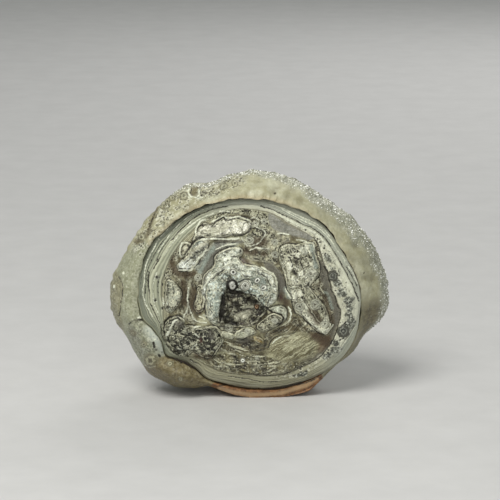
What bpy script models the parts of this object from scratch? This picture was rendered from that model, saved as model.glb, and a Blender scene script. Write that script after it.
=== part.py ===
"""Chalcedony rose: one stone, standing on the flat spot under its front lip.

Metres, +Z up. The banded face looks along -Y, and the rose's petals are on the back, at +Y.
The stone starts as a gridded box. Its front becomes the banded face, its four sides the hood and
the rim, and its back the petals: each square ring of the grid is one step of a section, and the
section changes round the stone.
"""

import math
from collections import namedtuple

import bmesh
import bpy
import numpy as np
from mathutils import Vector, noise

MM = 0.001

# Driving dimensions of the stone, in millimetres
STONE_WIDTH = 50.0
STONE_DEPTH = 25.0
STONE_HEIGHT = 40.5

# The outlines, sections and reliefs below are in millimetres too: x across, y back, z up
HUB_X, HUB_Z = 0.0, 20.0
FACE_MIDDLE_Y = -10.3
REST_CUT_Z = 0.25
CUTTER_HEIGHT = 10.0

# Grid of the box: rings from the middle of the face to its edge, and over the hood and rim
FACE_RINGS = 40
RIM_RINGS = 26
FACE_STEPS = 8
TRIANGLES = 9600

# Silhouette of the stone from the front, from the top and clockwise, as (x, z)
SILHOUETTE = (
    (0.9, 40.5), (7.3, 39.2), (14.1, 34.9), (20.2, 29.4), (23.6, 23.1), (25.0, 16.8),
    (24.3, 13.9), (22.6, 11.9), (20.6, 10.2), (18.7, 8.0), (16.5, 6.3), (14.3, 4.6),
    (12.4, 2.9), (10.6, 1.3), (7.3, 0.4), (2.9, 0.0), (-1.2, 0.4), (-4.6, 1.2),
    (-7.6, 2.1), (-10.4, 1.6), (-13.1, 1.6), (-15.5, 2.5), (-17.9, 3.9), (-19.6, 5.9),
    (-21.9, 10.2), (-24.5, 15.0), (-25.0, 17.9), (-24.7, 21.0), (-22.3, 26.1), (-18.5, 31.8),
    (-14.1, 36.2), (-11.7, 37.7), (-9.7, 38.1), (-7.6, 38.2), (-2.2, 40.0),
)

# Edge of the banded face, where the hood, the lobe or the lip begins, as (x, z)
FACE_EDGE = (
    (-0.5, 36.9), (3.0, 36.6), (5.9, 36.0), (7.9, 35.2), (9.9, 34.3), (11.8, 33.0),
    (13.8, 31.1), (15.8, 28.1), (17.6, 25.1), (19.0, 22.0), (19.8, 18.5), (19.7, 15.3),
    (19.2, 12.4), (18.3, 10.2), (17.0, 8.1), (14.8, 5.9), (12.0, 4.2), (7.3, 2.5),
    (2.9, 1.9), (-1.2, 2.1), (-4.9, 2.9), (-7.8, 3.9), (-9.7, 5.7), (-11.7, 7.0),
    (-13.5, 7.7), (-15.0, 8.3), (-15.8, 10.9), (-17.4, 13.2), (-19.1, 15.0), (-19.7, 16.9),
    (-20.0, 19.4), (-19.8, 21.4), (-19.2, 24.6), (-18.6, 26.3), (-17.8, 28.0), (-16.8, 29.5),
    (-15.3, 30.9), (-13.8, 32.1), (-11.8, 33.7), (-8.9, 35.2), (-5.0, 36.4), (-2.9, 36.8),
)

# How the stone's section changes round the face. Angles are in degrees, from +X towards +Z.
# edge: y of the face at its edge. gap: depth of the crevice there. tuck: how far the crevice
# runs out under the hood. lip, brow and rim: y of the hood's inner edge, front and silhouette.
# foot: how far the back bulges down, to give the flat spot.
Station = namedtuple("Station", "angle edge gap tuck lip brow rim foot")
STATIONS = (
    Station(-180, -9.2, 0.35, 0.1, -9.5, -9.2, -4.0, 0.0),
    Station(-165, -9.2, 0.30, 0.1, -9.6, -9.7, -4.5, 0.0),
    Station(-148, -9.0, 0.35, 0.1, -9.8, -10.5, -5.0, 0.0),
    Station(-130, -8.8, 0.35, 0.1, -9.5, -10.0, -5.2, 0.1),
    Station(-115, -8.5, 0.60, 0.2, -8.6, -8.5, -6.6, 0.6),
    Station(-98, -8.4, 1.00, 0.3, -8.6, -8.5, -7.6, 1.0),
    Station(-75, -8.3, 1.00, 0.3, -8.4, -8.3, -7.4, 1.0),
    Station(-55, -8.0, 0.70, 0.1, -7.6, -7.3, -6.6, 0.6),
    Station(-40, -7.7, 0.80, -0.1, -6.6, -6.0, -4.6, 0.1),
    Station(-24, -7.8, 1.60, -0.2, -6.2, -5.0, -1.6, 0.0),
    Station(0, -8.2, 1.60, -0.1, -7.0, -5.8, -1.0, 0.0),
    Station(30, -8.7, 1.40, 0.4, -8.8, -7.8, -2.5, 0.0),
    Station(60, -9.0, 1.30, 0.7, -10.0, -9.2, -4.0, 0.0),
    Station(90, -9.0, 1.30, 0.8, -10.4, -9.6, -5.0, 0.0),
    Station(112, -9.0, 1.20, 0.7, -10.4, -9.6, -5.0, 0.0),
    Station(132, -9.0, 0.90, 0.4, -10.1, -9.4, -4.6, 0.0),
    Station(155, -9.1, 0.50, 0.2, -9.7, -9.1, -4.2, 0.0),
)

# Rings of petals on the back, from the outside in. radius: share of the silhouette's at the crevice
# round the ring. y: of that crevice. rise: height of the ring over it. wave: depth of its folds.
# uneven: how unlike its petals' widths are. right and up: shift of its middle, a share of the radius.
# lean: how much higher its petals stand on the side it is shifted to.
Petal = namedtuple("Petal", "radius y rise lobes turn wave uneven right up lean")
PETALS = (
    Petal(0.75, 2.4, 4.7, 5, 0.5, 0.080, 0.45, 0.030, -0.020, 0.7),
    Petal(0.44, 6.8, 3.3, 4, 1.3, 0.110, 0.55, -0.050, 0.060, 1.0),
    Petal(0.18, 9.8, 2.0, 3, 0.2, 0.080, 0.40, -0.060, 0.080, 0.6),
)
PETAL_OVERHANG = 0.03

# Section of a ring of petals from its overhang inwards: (share of its width, share of its rise,
# share of the grid's rings)
PETAL_SECTION = ((0.12, 0.8, 4), (0.42, 1.0, 5), (0.72, 1.05, 4))

# The hood's front and the shoulder where it starts to turn back, as shares of its width
HOOD_BROW = 0.42
HOOD_SHOULDER = 0.82

# How the crevice round the face opens: where the face turns into it, in millimetres inside the
# face's edge, and how deep its mouth is, as a share of its depth
FACE_TURN = 0.6
CREVICE_MOUTH = 0.22

# Waves that run round the back and lift and sink all its rings: (waves in a turn, height, turn)
BACK_FOLDS = ((2, 0.7, 0.4), (3, 0.65, 1.9), (7, 0.25, 0.8))

# Fold that runs round the stone's side and comes and goes: (waves in a turn, depth, turn). The
# depth is a share of the silhouette's radius.
SIDE_FOLD = ((3, 0.016, 2.4), (5, 0.012, 0.3))

# The forms' places are those seen from a little above, on the plane y = VIEW_PLANE_Y: what lies a
# millimetre behind that plane shows VIEW_SLOPE higher
VIEW_SLOPE, VIEW_PLANE_Y = 0.22, -7.7

# Relief, in millimetres. Each form is a stroke: a chain of (x, z, half-width) points
Form = namedtuple("Form", "name height edge stroke")
FACE_FORMS = (
    Form("upper_crescent", 0.35, 0.5, (
        (-11.7, 24.3, 0.9), (-11.2, 26.7, 1.2), (-9.0, 29.2, 1.4),
        (-6.3, 30.9, 1.5), (-2.9, 31.3, 1.5), (-0.5, 31.1, 1.2))),
    Form("middle_mound", 0.55, 0.9, (
        (-6.6, 16.6, 1.6), (-6.6, 20.8, 1.9), (-3.6, 23.6, 2.0),
        (0.2, 24.0, 1.3), (3.6, 21.5, 1.5), (3.9, 18.4, 1.0))),
    Form("middle_hollow", -0.95, 0.8, (
        (-2.9, 20.0, 1.3), (-1.4, 17.0, 2.5), (-2.9, 14.6, 1.5), (0.8, 15.6, 1.5))),
    Form("right_island", 0.45, 0.6, (
        (7.3, 27.1, 2.0), (9.3, 23.6, 2.5), (9.7, 20.1, 2.0), (11.4, 17.3, 1.7), (13.1, 13.9, 1.7))),
    Form("right_chain", 0.30, 0.5, (
        (14.1, 25.7, 0.6), (15.3, 21.5, 1.2), (17.0, 18.0, 1.4),
        (17.4, 14.6, 1.4), (16.6, 11.8, 1.3), (15.1, 9.0, 1.0))),
    Form("lower_left_cluster", 0.50, 0.6, (
        (-13.1, 12.8, 1.7), (-11.4, 10.4, 2.5), (-7.6, 10.0, 2.3), (-5.9, 10.0, 1.4))),
    Form("lower_right_lens", 0.30, 0.8, ((5.3, 8.3, 1.6), (9.0, 9.3, 2.1))),
    Form("bottom_ridge", 0.25, 0.5, (
        (-7.6, 6.9, 0.8), (-2.9, 5.9, 1.1), (2.2, 5.5, 1.2), (7.3, 5.9, 0.9))),
    Form("left_island", 0.35, 0.5, ((-14.1, 21.5, 1.0), (-13.6, 18.0, 1.5))),
    Form("right_loop", 0.45, 0.5, ((3.9, 14.6, 1.4), (5.3, 15.6, 1.1))),
    Form("white_cells", 0.40, 0.5, ((-4.2, 11.8, 0.8), (-0.5, 12.3, 1.0), (1.5, 10.9, 0.7))),
)

# Forms of the hood and of the lobe at the lower left
HOOD_FORMS = (
    Form("upper_lobe", 0.45, 2.2, ((-18.2, 10.6, 1.6), (-19.8, 13.0, 1.0))),
    Form("lower_lobe", 0.40, 2.2, ((-15.0, 4.8, 1.4), (-11.5, 4.0, 1.4))),
    Form("hood_pit", -0.80, 0.7, ((-10.0, 37.5, 0.45), (-9.9, 38.2, 0.55))),
    Form("hood_streak", -0.35, 0.6, ((-18.7, 29.4, 0.3), (-18.1, 31.3, 0.4), (-17.2, 33.1, 0.2))),
    Form("left_ledge", 0.30, 0.5, ((-24.3, 20.4, 0.9), (-24.6, 17.5, 1.2), (-23.9, 14.2, 0.8))),
)

# Small round eyes on the face, as (x, z, half-width)
EYES = (
    (-3.2, 20.6, 0.95), (-0.9, 20.8, 0.95), (2.4, 20.4, 0.8), (-3.1, 22.9, 0.8), (-0.3, 18.2, 0.6),
    (1.2, 16.7, 0.6), (-3.6, 17.7, 0.7), (-12.6, 14.6, 1.2), (15.0, 22.0, 0.8), (16.2, 18.9, 0.8),
    (17.0, 16.9, 0.8), (17.2, 14.8, 0.9), (16.3, 12.0, 0.9), (13.4, 14.4, 1.1),
)
EYE_HEIGHT = 0.32

# Lumps of the dark cluster at the lower left, which wind out from its middle
CLUSTER_LUMPS = 16
CLUSTER_MIDDLE = (-9.6, 10.6)
CLUSTER_SPREAD = (4.2, 2.3)
LUMP_SIZE, LUMP_HEIGHT = 0.75, 0.4

# Waviness of the whole surface: (wavelength, height)
WAVES = ((9.0, 0.30), (3.2, 0.12))
WAVE_SHIFT = Vector((3.7, 1.9, 8.3))


def ease(share):
    """Smooth step from 0 to 1."""
    share = np.clip(share, 0.0, 1.0)
    return share * share * (3.0 - 2.0 * share)


def cubic(p0, p1, p2, p3, share):
    """Point on a smooth curve from p1 to p2, between neighbours p0 and p3."""
    return 0.5 * (
        2 * p1
        + (p2 - p0) * share
        + (2 * p0 - 5 * p1 + 4 * p2 - p3) * share**2
        + (3 * p1 - p0 - 3 * p2 + p3) * share**3
    )


def radius_at(outline, angles):
    """Distance from the hub to a closed outline at each angle, on a smooth curve through its points."""
    points = np.array(outline) - (HUB_X, HUB_Z)
    turn = np.arctan2(points[:, 1], points[:, 0])
    order = np.argsort(turn)
    turn, reach = turn[order], np.hypot(points[:, 0], points[:, 1])[order]
    count = len(turn)
    slot = (np.searchsorted(turn, angles, side="right") - 1) % count
    ahead = (slot + 1) % count
    full = 2.0 * math.pi
    share = ((angles - turn[slot]) % full) / ((turn[ahead] - turn[slot]) % full)
    return cubic(reach[slot - 1], reach[slot], reach[ahead], reach[(slot + 2) % count], share)


def station_at(field, angles):
    """A station's value at each angle, easing from one station to the next."""
    turns = np.radians([station.angle for station in STATIONS] + [STATIONS[0].angle + 360])
    values = [getattr(station, field) for station in STATIONS]
    values = np.array(values + values[:1])
    slot = np.clip(np.searchsorted(turns, angles, side="right") - 1, 0, len(STATIONS) - 1)
    share = ease((angles - turns[slot]) / (turns[slot + 1] - turns[slot]))
    return values[slot] * (1 - share) + values[slot + 1] * share


def waves(rows, angles):
    """Sum of waves that run round the stone."""
    return sum(size * np.sin(count * angles + turn) for count, size, turn in rows)


# A section is a list of points from the middle of the face to the middle of the back. Each is
# (distance from the hub, y, share of its part's rings that go to the step after it).


def face_points(face, edge):
    """The gently domed face, from its middle to where it starts to turn into the crevice."""
    points = []
    for step in range(FACE_STEPS):
        share = step / FACE_STEPS
        points.append((face * share, FACE_MIDDLE_Y + (edge - FACE_MIDDLE_Y) * share**3, 5))
    points.append((face - FACE_TURN, edge - 0.03, 1))
    return points


def hood_points(face, rim, angles):
    """The crevice round the face, the hood over it and the rim that turns to the back."""
    edge, gap, tuck, lip, brow, rim_y, foot = (station_at(f, angles) for f in Station._fields[1:])
    hood = rim - face
    start = np.minimum(0.3, 0.25 * hood)
    fold = (waves(SIDE_FOLD, angles) - 0.02) * (1 - foot)
    crevice = [
        (face - 0.08, edge + CREVICE_MOUTH * gap, 2),
        (face + tuck, edge + gap, 2),
        (face + 0.4 * tuck + 0.05, lip + 0.45, 2),
    ]
    roll = [
        (face + start, lip, 3),
        (face + HOOD_BROW * hood, brow, 3),
        (face + HOOD_SHOULDER * hood, (brow + rim_y) / 2, 3),
        (rim, rim_y, 4),
        (rim * (0.98 + fold + 0.06 * foot), rim_y * 0.4, 4),
    ]
    return crevice + roll


def petal_points(rim, angles):
    """The rolled back of the hood and the rings of petals inside it, to the middle of the back."""
    foot = station_at("foot", angles)
    points = [
        (0.965 + 0.065 * foot, 1.2 + 0.8 * foot, 5),
        (0.895 + 0.060 * foot, 3.1 + 0.8 * foot, 4),
    ]
    for number, petal in enumerate(PETALS):
        bent = angles + petal.uneven * np.sin(angles + 2 * petal.turn)
        lobes = np.abs(np.cos(petal.lobes * bent / 2 + petal.turn)) ** 0.6
        side = petal.right * np.cos(angles) + petal.up * np.sin(angles)
        crevice = petal.radius * (1 - petal.wave + 2 * petal.wave * lobes) + side
        inner = PETALS[number + 1].radius if number + 1 < len(PETALS) else 0.0
        width = petal.radius - inner
        rise = petal.rise * (0.8 + 0.2 * lobes) + petal.lean * side / math.hypot(petal.right, petal.up)
        points += [
            (crevice + 0.05, petal.y + 0.5, 3),
            (crevice, petal.y - 0.4, 3),
            (crevice + PETAL_OVERHANG, petal.y + 0.4 * rise, 3),
        ]
        points += [
            (crevice - across * width, petal.y + up * rise, rings) for across, up, rings in PETAL_SECTION
        ]
    points.append((0.0, PETALS[-1].y + PETALS[-1].rise + 0.4, 0))
    fold = waves(BACK_FOLDS, angles)
    return [(rim * share, y + fold * share, rings) for share, y, rings in points]


def ring_places(parts, counts):
    """Where each ring falls along the section's points, with each part's rings shared by weight."""
    places, start = [], 0
    for part, count in zip(parts, counts):
        weights = np.cumsum([0.0] + [point[2] for point in part])
        along = np.interp(np.arange(count) / count * weights[-1], weights, np.arange(len(weights)))
        places.extend(start + along)
        start += len(part)
    return np.array(places + [start - 1])


def stroke_distance(x, z, stroke):
    """Signed distance to a chain of discs joined by straight flanks: negative inside."""
    found = np.full(x.shape, np.inf)
    for (ax, az, ar), (bx, bz, br) in zip(stroke, stroke[1:]):
        dx, dz = bx - ax, bz - az
        share = np.clip(((x - ax) * dx + (z - az) * dz) / (dx * dx + dz * dz), 0.0, 1.0)
        gap = np.hypot(x - ax - share * dx, z - az - share * dz) - (ar + share * (br - ar))
        found = np.minimum(found, gap)
    return found


def forms_height(x, z, forms):
    """Height of raised and sunken forms at points of the front."""
    height = np.zeros(x.shape)
    for form in forms:
        height += form.height * ease(0.5 - stroke_distance(x, z, form.stroke) / form.edge)
    return height


def face_relief(x, z):
    """Height of the face's forms, eyes and lumps over its plain surface."""
    height = forms_height(x, z, FACE_FORMS)
    for ex, ez, size in EYES:
        height += EYE_HEIGHT * ease(1.2 - np.hypot(x - ex, z - ez) / size)
    golden = math.pi * (3 - math.sqrt(5))
    for number in range(CLUSTER_LUMPS):
        out = math.sqrt((number + 0.5) / CLUSTER_LUMPS)
        lx = CLUSTER_MIDDLE[0] + CLUSTER_SPREAD[0] * out * math.cos(number * golden)
        lz = CLUSTER_MIDDLE[1] + CLUSTER_SPREAD[1] * out * math.sin(number * golden)
        height += LUMP_HEIGHT * ease(1.2 - np.hypot(x - lx, z - lz) / LUMP_SIZE)
    return height


def stone_points(ring, angles):
    """Places on the stone, in millimetres, of grid points given by their ring and angle."""
    face, rim = radius_at(FACE_EDGE, angles), radius_at(SILHOUETTE, angles)
    parts = (
        face_points(face, station_at("edge", angles)),
        hood_points(face, rim, angles),
        petal_points(rim, angles),
    )
    places = ring_places(parts, (FACE_RINGS, RIM_RINGS, FACE_RINGS))
    path = np.array([np.broadcast_arrays(radius, y) for part in parts for radius, y, weight in part])
    last = len(path) - 1
    slot = np.minimum(places.astype(int), last - 1)[ring]
    each = np.arange(len(ring))
    beside = (path[np.clip(slot + step, 0, last), :, each] for step in (-1, 0, 1, 2))
    reach, y = cubic(*beside, (places[ring] - slot)[:, None]).T
    x, z = HUB_X + reach * np.cos(angles), HUB_Z + reach * np.sin(angles)
    seen = z + VIEW_SLOPE * (y - VIEW_PLANE_Y)
    inside = ease((face - reach - 0.3) / 1.2)
    front = ease((FACE_RINGS + 0.8 * RIM_RINGS - ring) / (0.3 * RIM_RINGS))
    y = y - (face_relief(x, seen) * inside + forms_height(x, seen, HOOD_FORMS) * (1 - inside)) * front
    return np.column_stack([x, y, z])


def grid_place(place):
    """Ring and angle of a point of the gridded box, whose front is at +Z."""
    u, v, w = place
    out = max(abs(u), abs(v))
    if abs(w) < 1 - 1e-4:
        ring = FACE_RINGS + RIM_RINGS * (1 - w) / 2
    elif w > 0:
        ring = FACE_RINGS * out
    else:
        ring = FACE_RINGS + RIM_RINGS + FACE_RINGS * (1 - out)
    if out < 1e-6:
        angle = 0.0
    elif abs(u) >= abs(v):
        angle = math.pi / 4 * v / u + (0.0 if u > 0 else math.pi)
    else:
        angle = math.pi / 2 - math.pi / 4 * u / v + (0.0 if v > 0 else math.pi)
    return round(ring), math.remainder(angle, 2 * math.pi)


def gridded_box():
    """A box with a square grid on its front and back, and rings round its sides."""
    bm = bmesh.new()
    bmesh.ops.create_cube(bm, size=2.0)
    level = [edge for edge in bm.edges if abs(edge.verts[0].co.z - edge.verts[1].co.z) < 1e-6]
    bmesh.ops.subdivide_edges(bm, edges=level, cuts=2 * FACE_RINGS - 1, use_grid_fill=True)
    upright = [edge for edge in bm.edges if abs(edge.verts[0].co.z - edge.verts[1].co.z) > 1e-6]
    bmesh.ops.subdivide_edges(bm, edges=upright, cuts=RIM_RINGS - 1, use_grid_fill=True)
    return bm


def wave_height(point):
    """Waviness of the stone's surface at a point in millimetres."""
    return sum(size * noise.noise(point / length + WAVE_SHIFT) for length, size in WAVES)


def shape_stone(bm):
    """Moves the box's points to the stone's surface, and makes that surface a little wavy."""
    places = [grid_place(vert.co) for vert in bm.verts]
    ring = np.array([place[0] for place in places])
    angles = np.array([place[1] for place in places])
    for vert, place in zip(bm.verts, stone_points(ring, angles)):
        vert.co = place
    bm.normal_update()
    moves = [vert.normal * wave_height(vert.co) for vert in bm.verts]
    for vert, move in zip(bm.verts, moves):
        vert.co += move


def fit_to_size(bm):
    """Scales the stone to its driving dimensions, with the plane of its flat spot at height 0."""
    places = np.array([vert.co[:] for vert in bm.verts])
    low, high = places.min(axis=0), places.max(axis=0)
    low[2] = REST_CUT_Z
    wanted = np.array([STONE_WIDTH, STONE_DEPTH, STONE_HEIGHT]) * MM
    middle = np.array([(low[0] + high[0]) / 2, (low[1] + high[1]) / 2, low[2]])
    for vert, place in zip(bm.verts, (places - middle) * wanted / (high - low)):
        vert.co = place


def stone_material():
    """Waxy grey-green chalcedony."""
    material = bpy.data.materials.new("chalcedony")
    material.use_nodes = True
    shader = material.node_tree.nodes["Principled BSDF"]
    shader.inputs["Base Color"].default_value = (0.42, 0.42, 0.34, 1.0)
    shader.inputs["Roughness"].default_value = 0.42
    shader.inputs["Metallic"].default_value = 0.0
    return material


def make_cutter(collection):
    """The block below height 0 that cuts the flat spot."""
    bm = bmesh.new()
    bmesh.ops.create_cube(bm, size=1.0)
    bmesh.ops.scale(bm, vec=Vector((STONE_WIDTH, STONE_DEPTH, CUTTER_HEIGHT)) * MM, verts=bm.verts)
    mesh = bpy.data.meshes.new("flat_spot_cutter")
    bm.to_mesh(mesh)
    bm.free()
    cutter = bpy.data.objects.new("flat_spot_cutter", mesh)
    cutter.location.z = -CUTTER_HEIGHT * MM / 2
    cutter.hide_render = True
    cutter.display_type = "WIRE"
    collection.objects.link(cutter)
    return cutter


def make_stone(collection, cutter):
    """The stone as one object: its grid thinned to few triangles, then cut off flat to stand."""
    bm = gridded_box()
    shape_stone(bm)
    fit_to_size(bm)
    bmesh.ops.triangulate(bm, faces=bm.faces)
    fine = len(bm.faces)
    mesh = bpy.data.meshes.new("chalcedony_rose")
    bm.to_mesh(mesh)
    bm.free()
    mesh.materials.append(stone_material())
    stone = bpy.data.objects.new("chalcedony_rose", mesh)
    collection.objects.link(stone)
    thinning = stone.modifiers.new("Thin the grid", "DECIMATE")
    thinning.ratio = TRIANGLES / fine
    cut = stone.modifiers.new("Cut the flat spot", "BOOLEAN")
    cut.operation = "DIFFERENCE"
    cut.solver = "EXACT"
    cut.object = cutter


def main():
    for obj in list(bpy.data.objects):
        bpy.data.objects.remove(obj)
    parts = bpy.data.collections.new("chalcedony rose")
    cutters = bpy.data.collections.new("cutters")
    for collection in (parts, cutters):
        bpy.context.scene.collection.children.link(collection)
    make_stone(parts, make_cutter(cutters))


main()
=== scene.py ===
"""Chalcedony rose: the finish of one banded stone, with its markings, fine relief and crystal crust."""
import math
from collections import namedtuple

import bpy
import numpy as np
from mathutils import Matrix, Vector, noise


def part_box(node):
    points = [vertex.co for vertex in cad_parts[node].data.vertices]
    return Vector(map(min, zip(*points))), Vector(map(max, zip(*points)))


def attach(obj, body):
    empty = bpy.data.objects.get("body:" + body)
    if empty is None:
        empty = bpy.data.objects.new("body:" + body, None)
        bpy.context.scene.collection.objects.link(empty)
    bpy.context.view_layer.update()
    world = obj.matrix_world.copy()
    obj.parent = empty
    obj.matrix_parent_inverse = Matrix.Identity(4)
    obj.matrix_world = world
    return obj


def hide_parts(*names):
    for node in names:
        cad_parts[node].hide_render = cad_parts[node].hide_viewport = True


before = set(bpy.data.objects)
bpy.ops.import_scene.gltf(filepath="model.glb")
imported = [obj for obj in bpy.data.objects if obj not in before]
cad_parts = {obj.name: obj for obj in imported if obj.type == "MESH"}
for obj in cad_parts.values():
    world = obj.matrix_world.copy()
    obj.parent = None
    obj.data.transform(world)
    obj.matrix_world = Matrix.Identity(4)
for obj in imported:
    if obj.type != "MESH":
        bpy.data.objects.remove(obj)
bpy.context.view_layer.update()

MM = 0.001

# The stone's size and sections are those of the CAD solid, in millimetres: x across, y back, z up
LOW, HIGH = (np.array(corner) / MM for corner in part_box("chalcedony_rose"))
HUB_X, HUB_Z = 0.0, 20.0
FACE_MIDDLE_Y = -10.3
REST_CUT_Z = 0.25
FACE_STEPS = 8

# The face and the back are square grids that are drawn out to rings round the hub, and the hood
# between them is a strip of rings. Each is a piece of its own
GRID_RINGS, HOOD_RINGS = 155, 78

# The photo looks a little down on the stone. Drawn places are those it shows on one upright plane:
# what lies a millimetre behind that plane shows VIEW_SLOPE higher
VIEW_SLOPE, VIEW_PLANE_Y = 0.22, -7.7
DRAWN_SLOPE, DRAWN_PLANE_Y = 0.2126, -9.0
EDGE_DROP = 0.29

SILHOUETTE = (
    (0.9, 40.5), (7.3, 39.2), (14.1, 34.9), (20.2, 29.4), (23.6, 23.1), (25.0, 16.8),
    (24.3, 13.9), (22.6, 11.9), (20.6, 10.2), (18.7, 8.0), (16.5, 6.3), (14.3, 4.6),
    (12.4, 2.9), (10.6, 1.3), (7.3, 0.4), (2.9, 0.0), (-1.2, 0.4), (-4.6, 1.2),
    (-7.6, 2.1), (-10.4, 1.6), (-13.1, 1.6), (-15.5, 2.5), (-17.9, 3.9), (-19.6, 5.9),
    (-21.9, 10.2), (-24.5, 15.0), (-25.0, 17.9), (-24.7, 21.0), (-22.3, 26.1), (-18.5, 31.8),
    (-14.1, 36.2), (-11.7, 37.7), (-9.7, 38.1), (-7.6, 38.2), (-2.2, 40.0),
)
FACE_EDGE = (
    (-0.5, 36.9), (3.0, 36.6), (5.9, 36.0), (7.9, 35.2), (9.9, 34.3), (11.8, 33.0),
    (13.8, 31.1), (15.8, 28.1), (17.6, 25.1), (19.0, 22.0), (19.8, 18.5), (19.7, 15.3),
    (19.2, 12.4), (18.3, 10.2), (17.0, 8.1), (14.8, 5.9), (12.0, 4.2), (7.3, 2.5),
    (2.9, 1.9), (-1.2, 2.1), (-4.9, 2.9), (-7.8, 3.9), (-9.7, 5.7), (-11.7, 7.0),
    (-13.5, 7.7), (-15.0, 8.3), (-15.8, 10.9), (-17.4, 13.2), (-19.1, 15.0), (-19.7, 16.9),
    (-20.0, 19.4), (-19.8, 21.4), (-19.2, 24.6), (-18.6, 26.3), (-17.8, 28.0), (-16.8, 29.5),
    (-15.3, 30.9), (-13.8, 32.1), (-11.8, 33.7), (-8.9, 35.2), (-5.0, 36.4), (-2.9, 36.8),
)
Station = namedtuple("Station", "angle edge gap tuck lip brow rim foot")
STATIONS = (
    Station(-180, -9.2, 0.35, 0.1, -9.5, -9.2, -4.0, 0.0),
    Station(-165, -9.2, 0.30, 0.1, -9.6, -9.7, -4.5, 0.0),
    Station(-148, -9.0, 0.35, 0.1, -9.8, -10.5, -5.0, 0.0),
    Station(-130, -8.8, 0.35, 0.1, -9.5, -10.0, -5.2, 0.1),
    Station(-115, -8.5, 0.60, 0.2, -8.6, -8.5, -6.6, 0.6),
    Station(-98, -8.4, 1.00, 0.3, -8.6, -8.5, -7.6, 1.0),
    Station(-75, -8.3, 1.00, 0.3, -8.4, -8.3, -7.4, 1.0),
    Station(-55, -8.0, 0.70, 0.1, -7.6, -7.3, -6.6, 0.6),
    Station(-40, -7.7, 0.80, -0.1, -6.6, -6.0, -4.6, 0.1),
    Station(-24, -7.8, 1.60, -0.2, -6.2, -5.0, -1.6, 0.0),
    Station(0, -8.2, 1.60, -0.1, -7.0, -5.8, -1.0, 0.0),
    Station(30, -8.7, 1.40, 0.4, -8.8, -7.8, -2.5, 0.0),
    Station(60, -9.0, 1.30, 0.7, -10.0, -9.2, -4.0, 0.0),
    Station(90, -9.0, 1.30, 0.8, -10.4, -9.6, -5.0, 0.0),
    Station(112, -9.0, 1.20, 0.7, -10.4, -9.6, -5.0, 0.0),
    Station(132, -9.0, 0.90, 0.4, -10.1, -9.4, -4.6, 0.0),
    Station(155, -9.1, 0.50, 0.2, -9.7, -9.1, -4.2, 0.0),
)
Petal = namedtuple("Petal", "radius y rise lobes turn wave uneven right up lean")
PETALS = (
    Petal(0.75, 2.4, 4.7, 5, 0.5, 0.080, 0.45, 0.030, -0.020, 0.7),
    Petal(0.44, 6.8, 3.3, 4, 1.3, 0.110, 0.55, -0.050, 0.060, 1.0),
    Petal(0.18, 9.8, 2.0, 3, 0.2, 0.080, 0.40, -0.060, 0.080, 0.6),
)
PETAL_OVERHANG = 0.03
PETAL_SECTION = ((0.12, 0.8, 4), (0.42, 1.0, 5), (0.72, 1.05, 4))
HOOD_BROW, HOOD_SHOULDER = 0.42, 0.82
FACE_TURN, CREVICE_MOUTH = 0.6, 0.22
BACK_FOLDS = ((2, 0.7, 0.4), (3, 0.65, 1.9), (7, 0.25, 0.8))
SIDE_FOLD = ((3, 0.016, 2.4), (5, 0.012, 0.3))
LIP_WAVES = ((19, 0.06, 0.5), (31, 0.06, 2.0), (53, 0.04, 1.1))

# Where the section's points fall: the hood's inner lip, its silhouette and the petals' crevices
LIP_POINT, SILHOUETTE_POINT, FIRST_PETAL_POINT, POINTS_PER_PETAL = 12, 15, 19, 6
FORMS_END = 15.8

Form = namedtuple("Form", "name height edge stroke")
FACE_FORMS = (
    Form("upper_crescent", 0.35, 0.5, (
        (-11.7, 24.3, 0.9), (-11.2, 26.7, 1.2), (-9.0, 29.2, 1.4),
        (-6.3, 30.9, 1.5), (-2.9, 31.3, 1.5), (-0.5, 31.1, 1.2))),
    Form("middle_mound", 0.55, 0.9, (
        (-6.6, 16.6, 1.6), (-6.6, 20.8, 1.9), (-3.6, 23.6, 2.0),
        (0.2, 24.0, 1.3), (3.6, 21.5, 1.5), (3.9, 18.4, 1.0))),
    Form("middle_hollow", -0.95, 0.8, (
        (-2.9, 20.0, 1.3), (-1.4, 17.0, 2.5), (-2.9, 14.6, 1.5), (0.8, 15.6, 1.5))),
    Form("right_island", 0.45, 0.6, (
        (7.3, 27.1, 2.0), (9.3, 23.6, 2.5), (9.7, 20.1, 2.0), (11.4, 17.3, 1.7), (13.1, 13.9, 1.7))),
    Form("right_chain", 0.30, 0.5, (
        (14.1, 25.7, 0.6), (15.3, 21.5, 1.2), (17.0, 18.0, 1.4),
        (17.4, 14.6, 1.4), (16.6, 11.8, 1.3), (15.1, 9.0, 1.0))),
    Form("lower_left_cluster", 0.50, 0.6, (
        (-13.1, 12.8, 1.7), (-11.4, 10.4, 2.5), (-7.6, 10.0, 2.3), (-5.9, 10.0, 1.4))),
    Form("lower_right_lens", 0.30, 0.8, ((5.3, 8.3, 1.6), (9.0, 9.3, 2.1))),
    Form("bottom_ridge", 0.25, 0.5, (
        (-7.6, 6.9, 0.8), (-2.9, 5.9, 1.1), (2.2, 5.5, 1.2), (7.3, 5.9, 0.9))),
    Form("left_island", 0.35, 0.5, ((-14.1, 21.5, 1.0), (-13.6, 18.0, 1.5))),
    Form("right_loop", 0.45, 0.5, ((3.9, 14.6, 1.4), (5.3, 15.6, 1.1))),
    Form("white_cells", 0.40, 0.5, ((-4.2, 11.8, 0.8), (-0.5, 12.3, 1.0), (1.5, 10.9, 0.7))),
)
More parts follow.
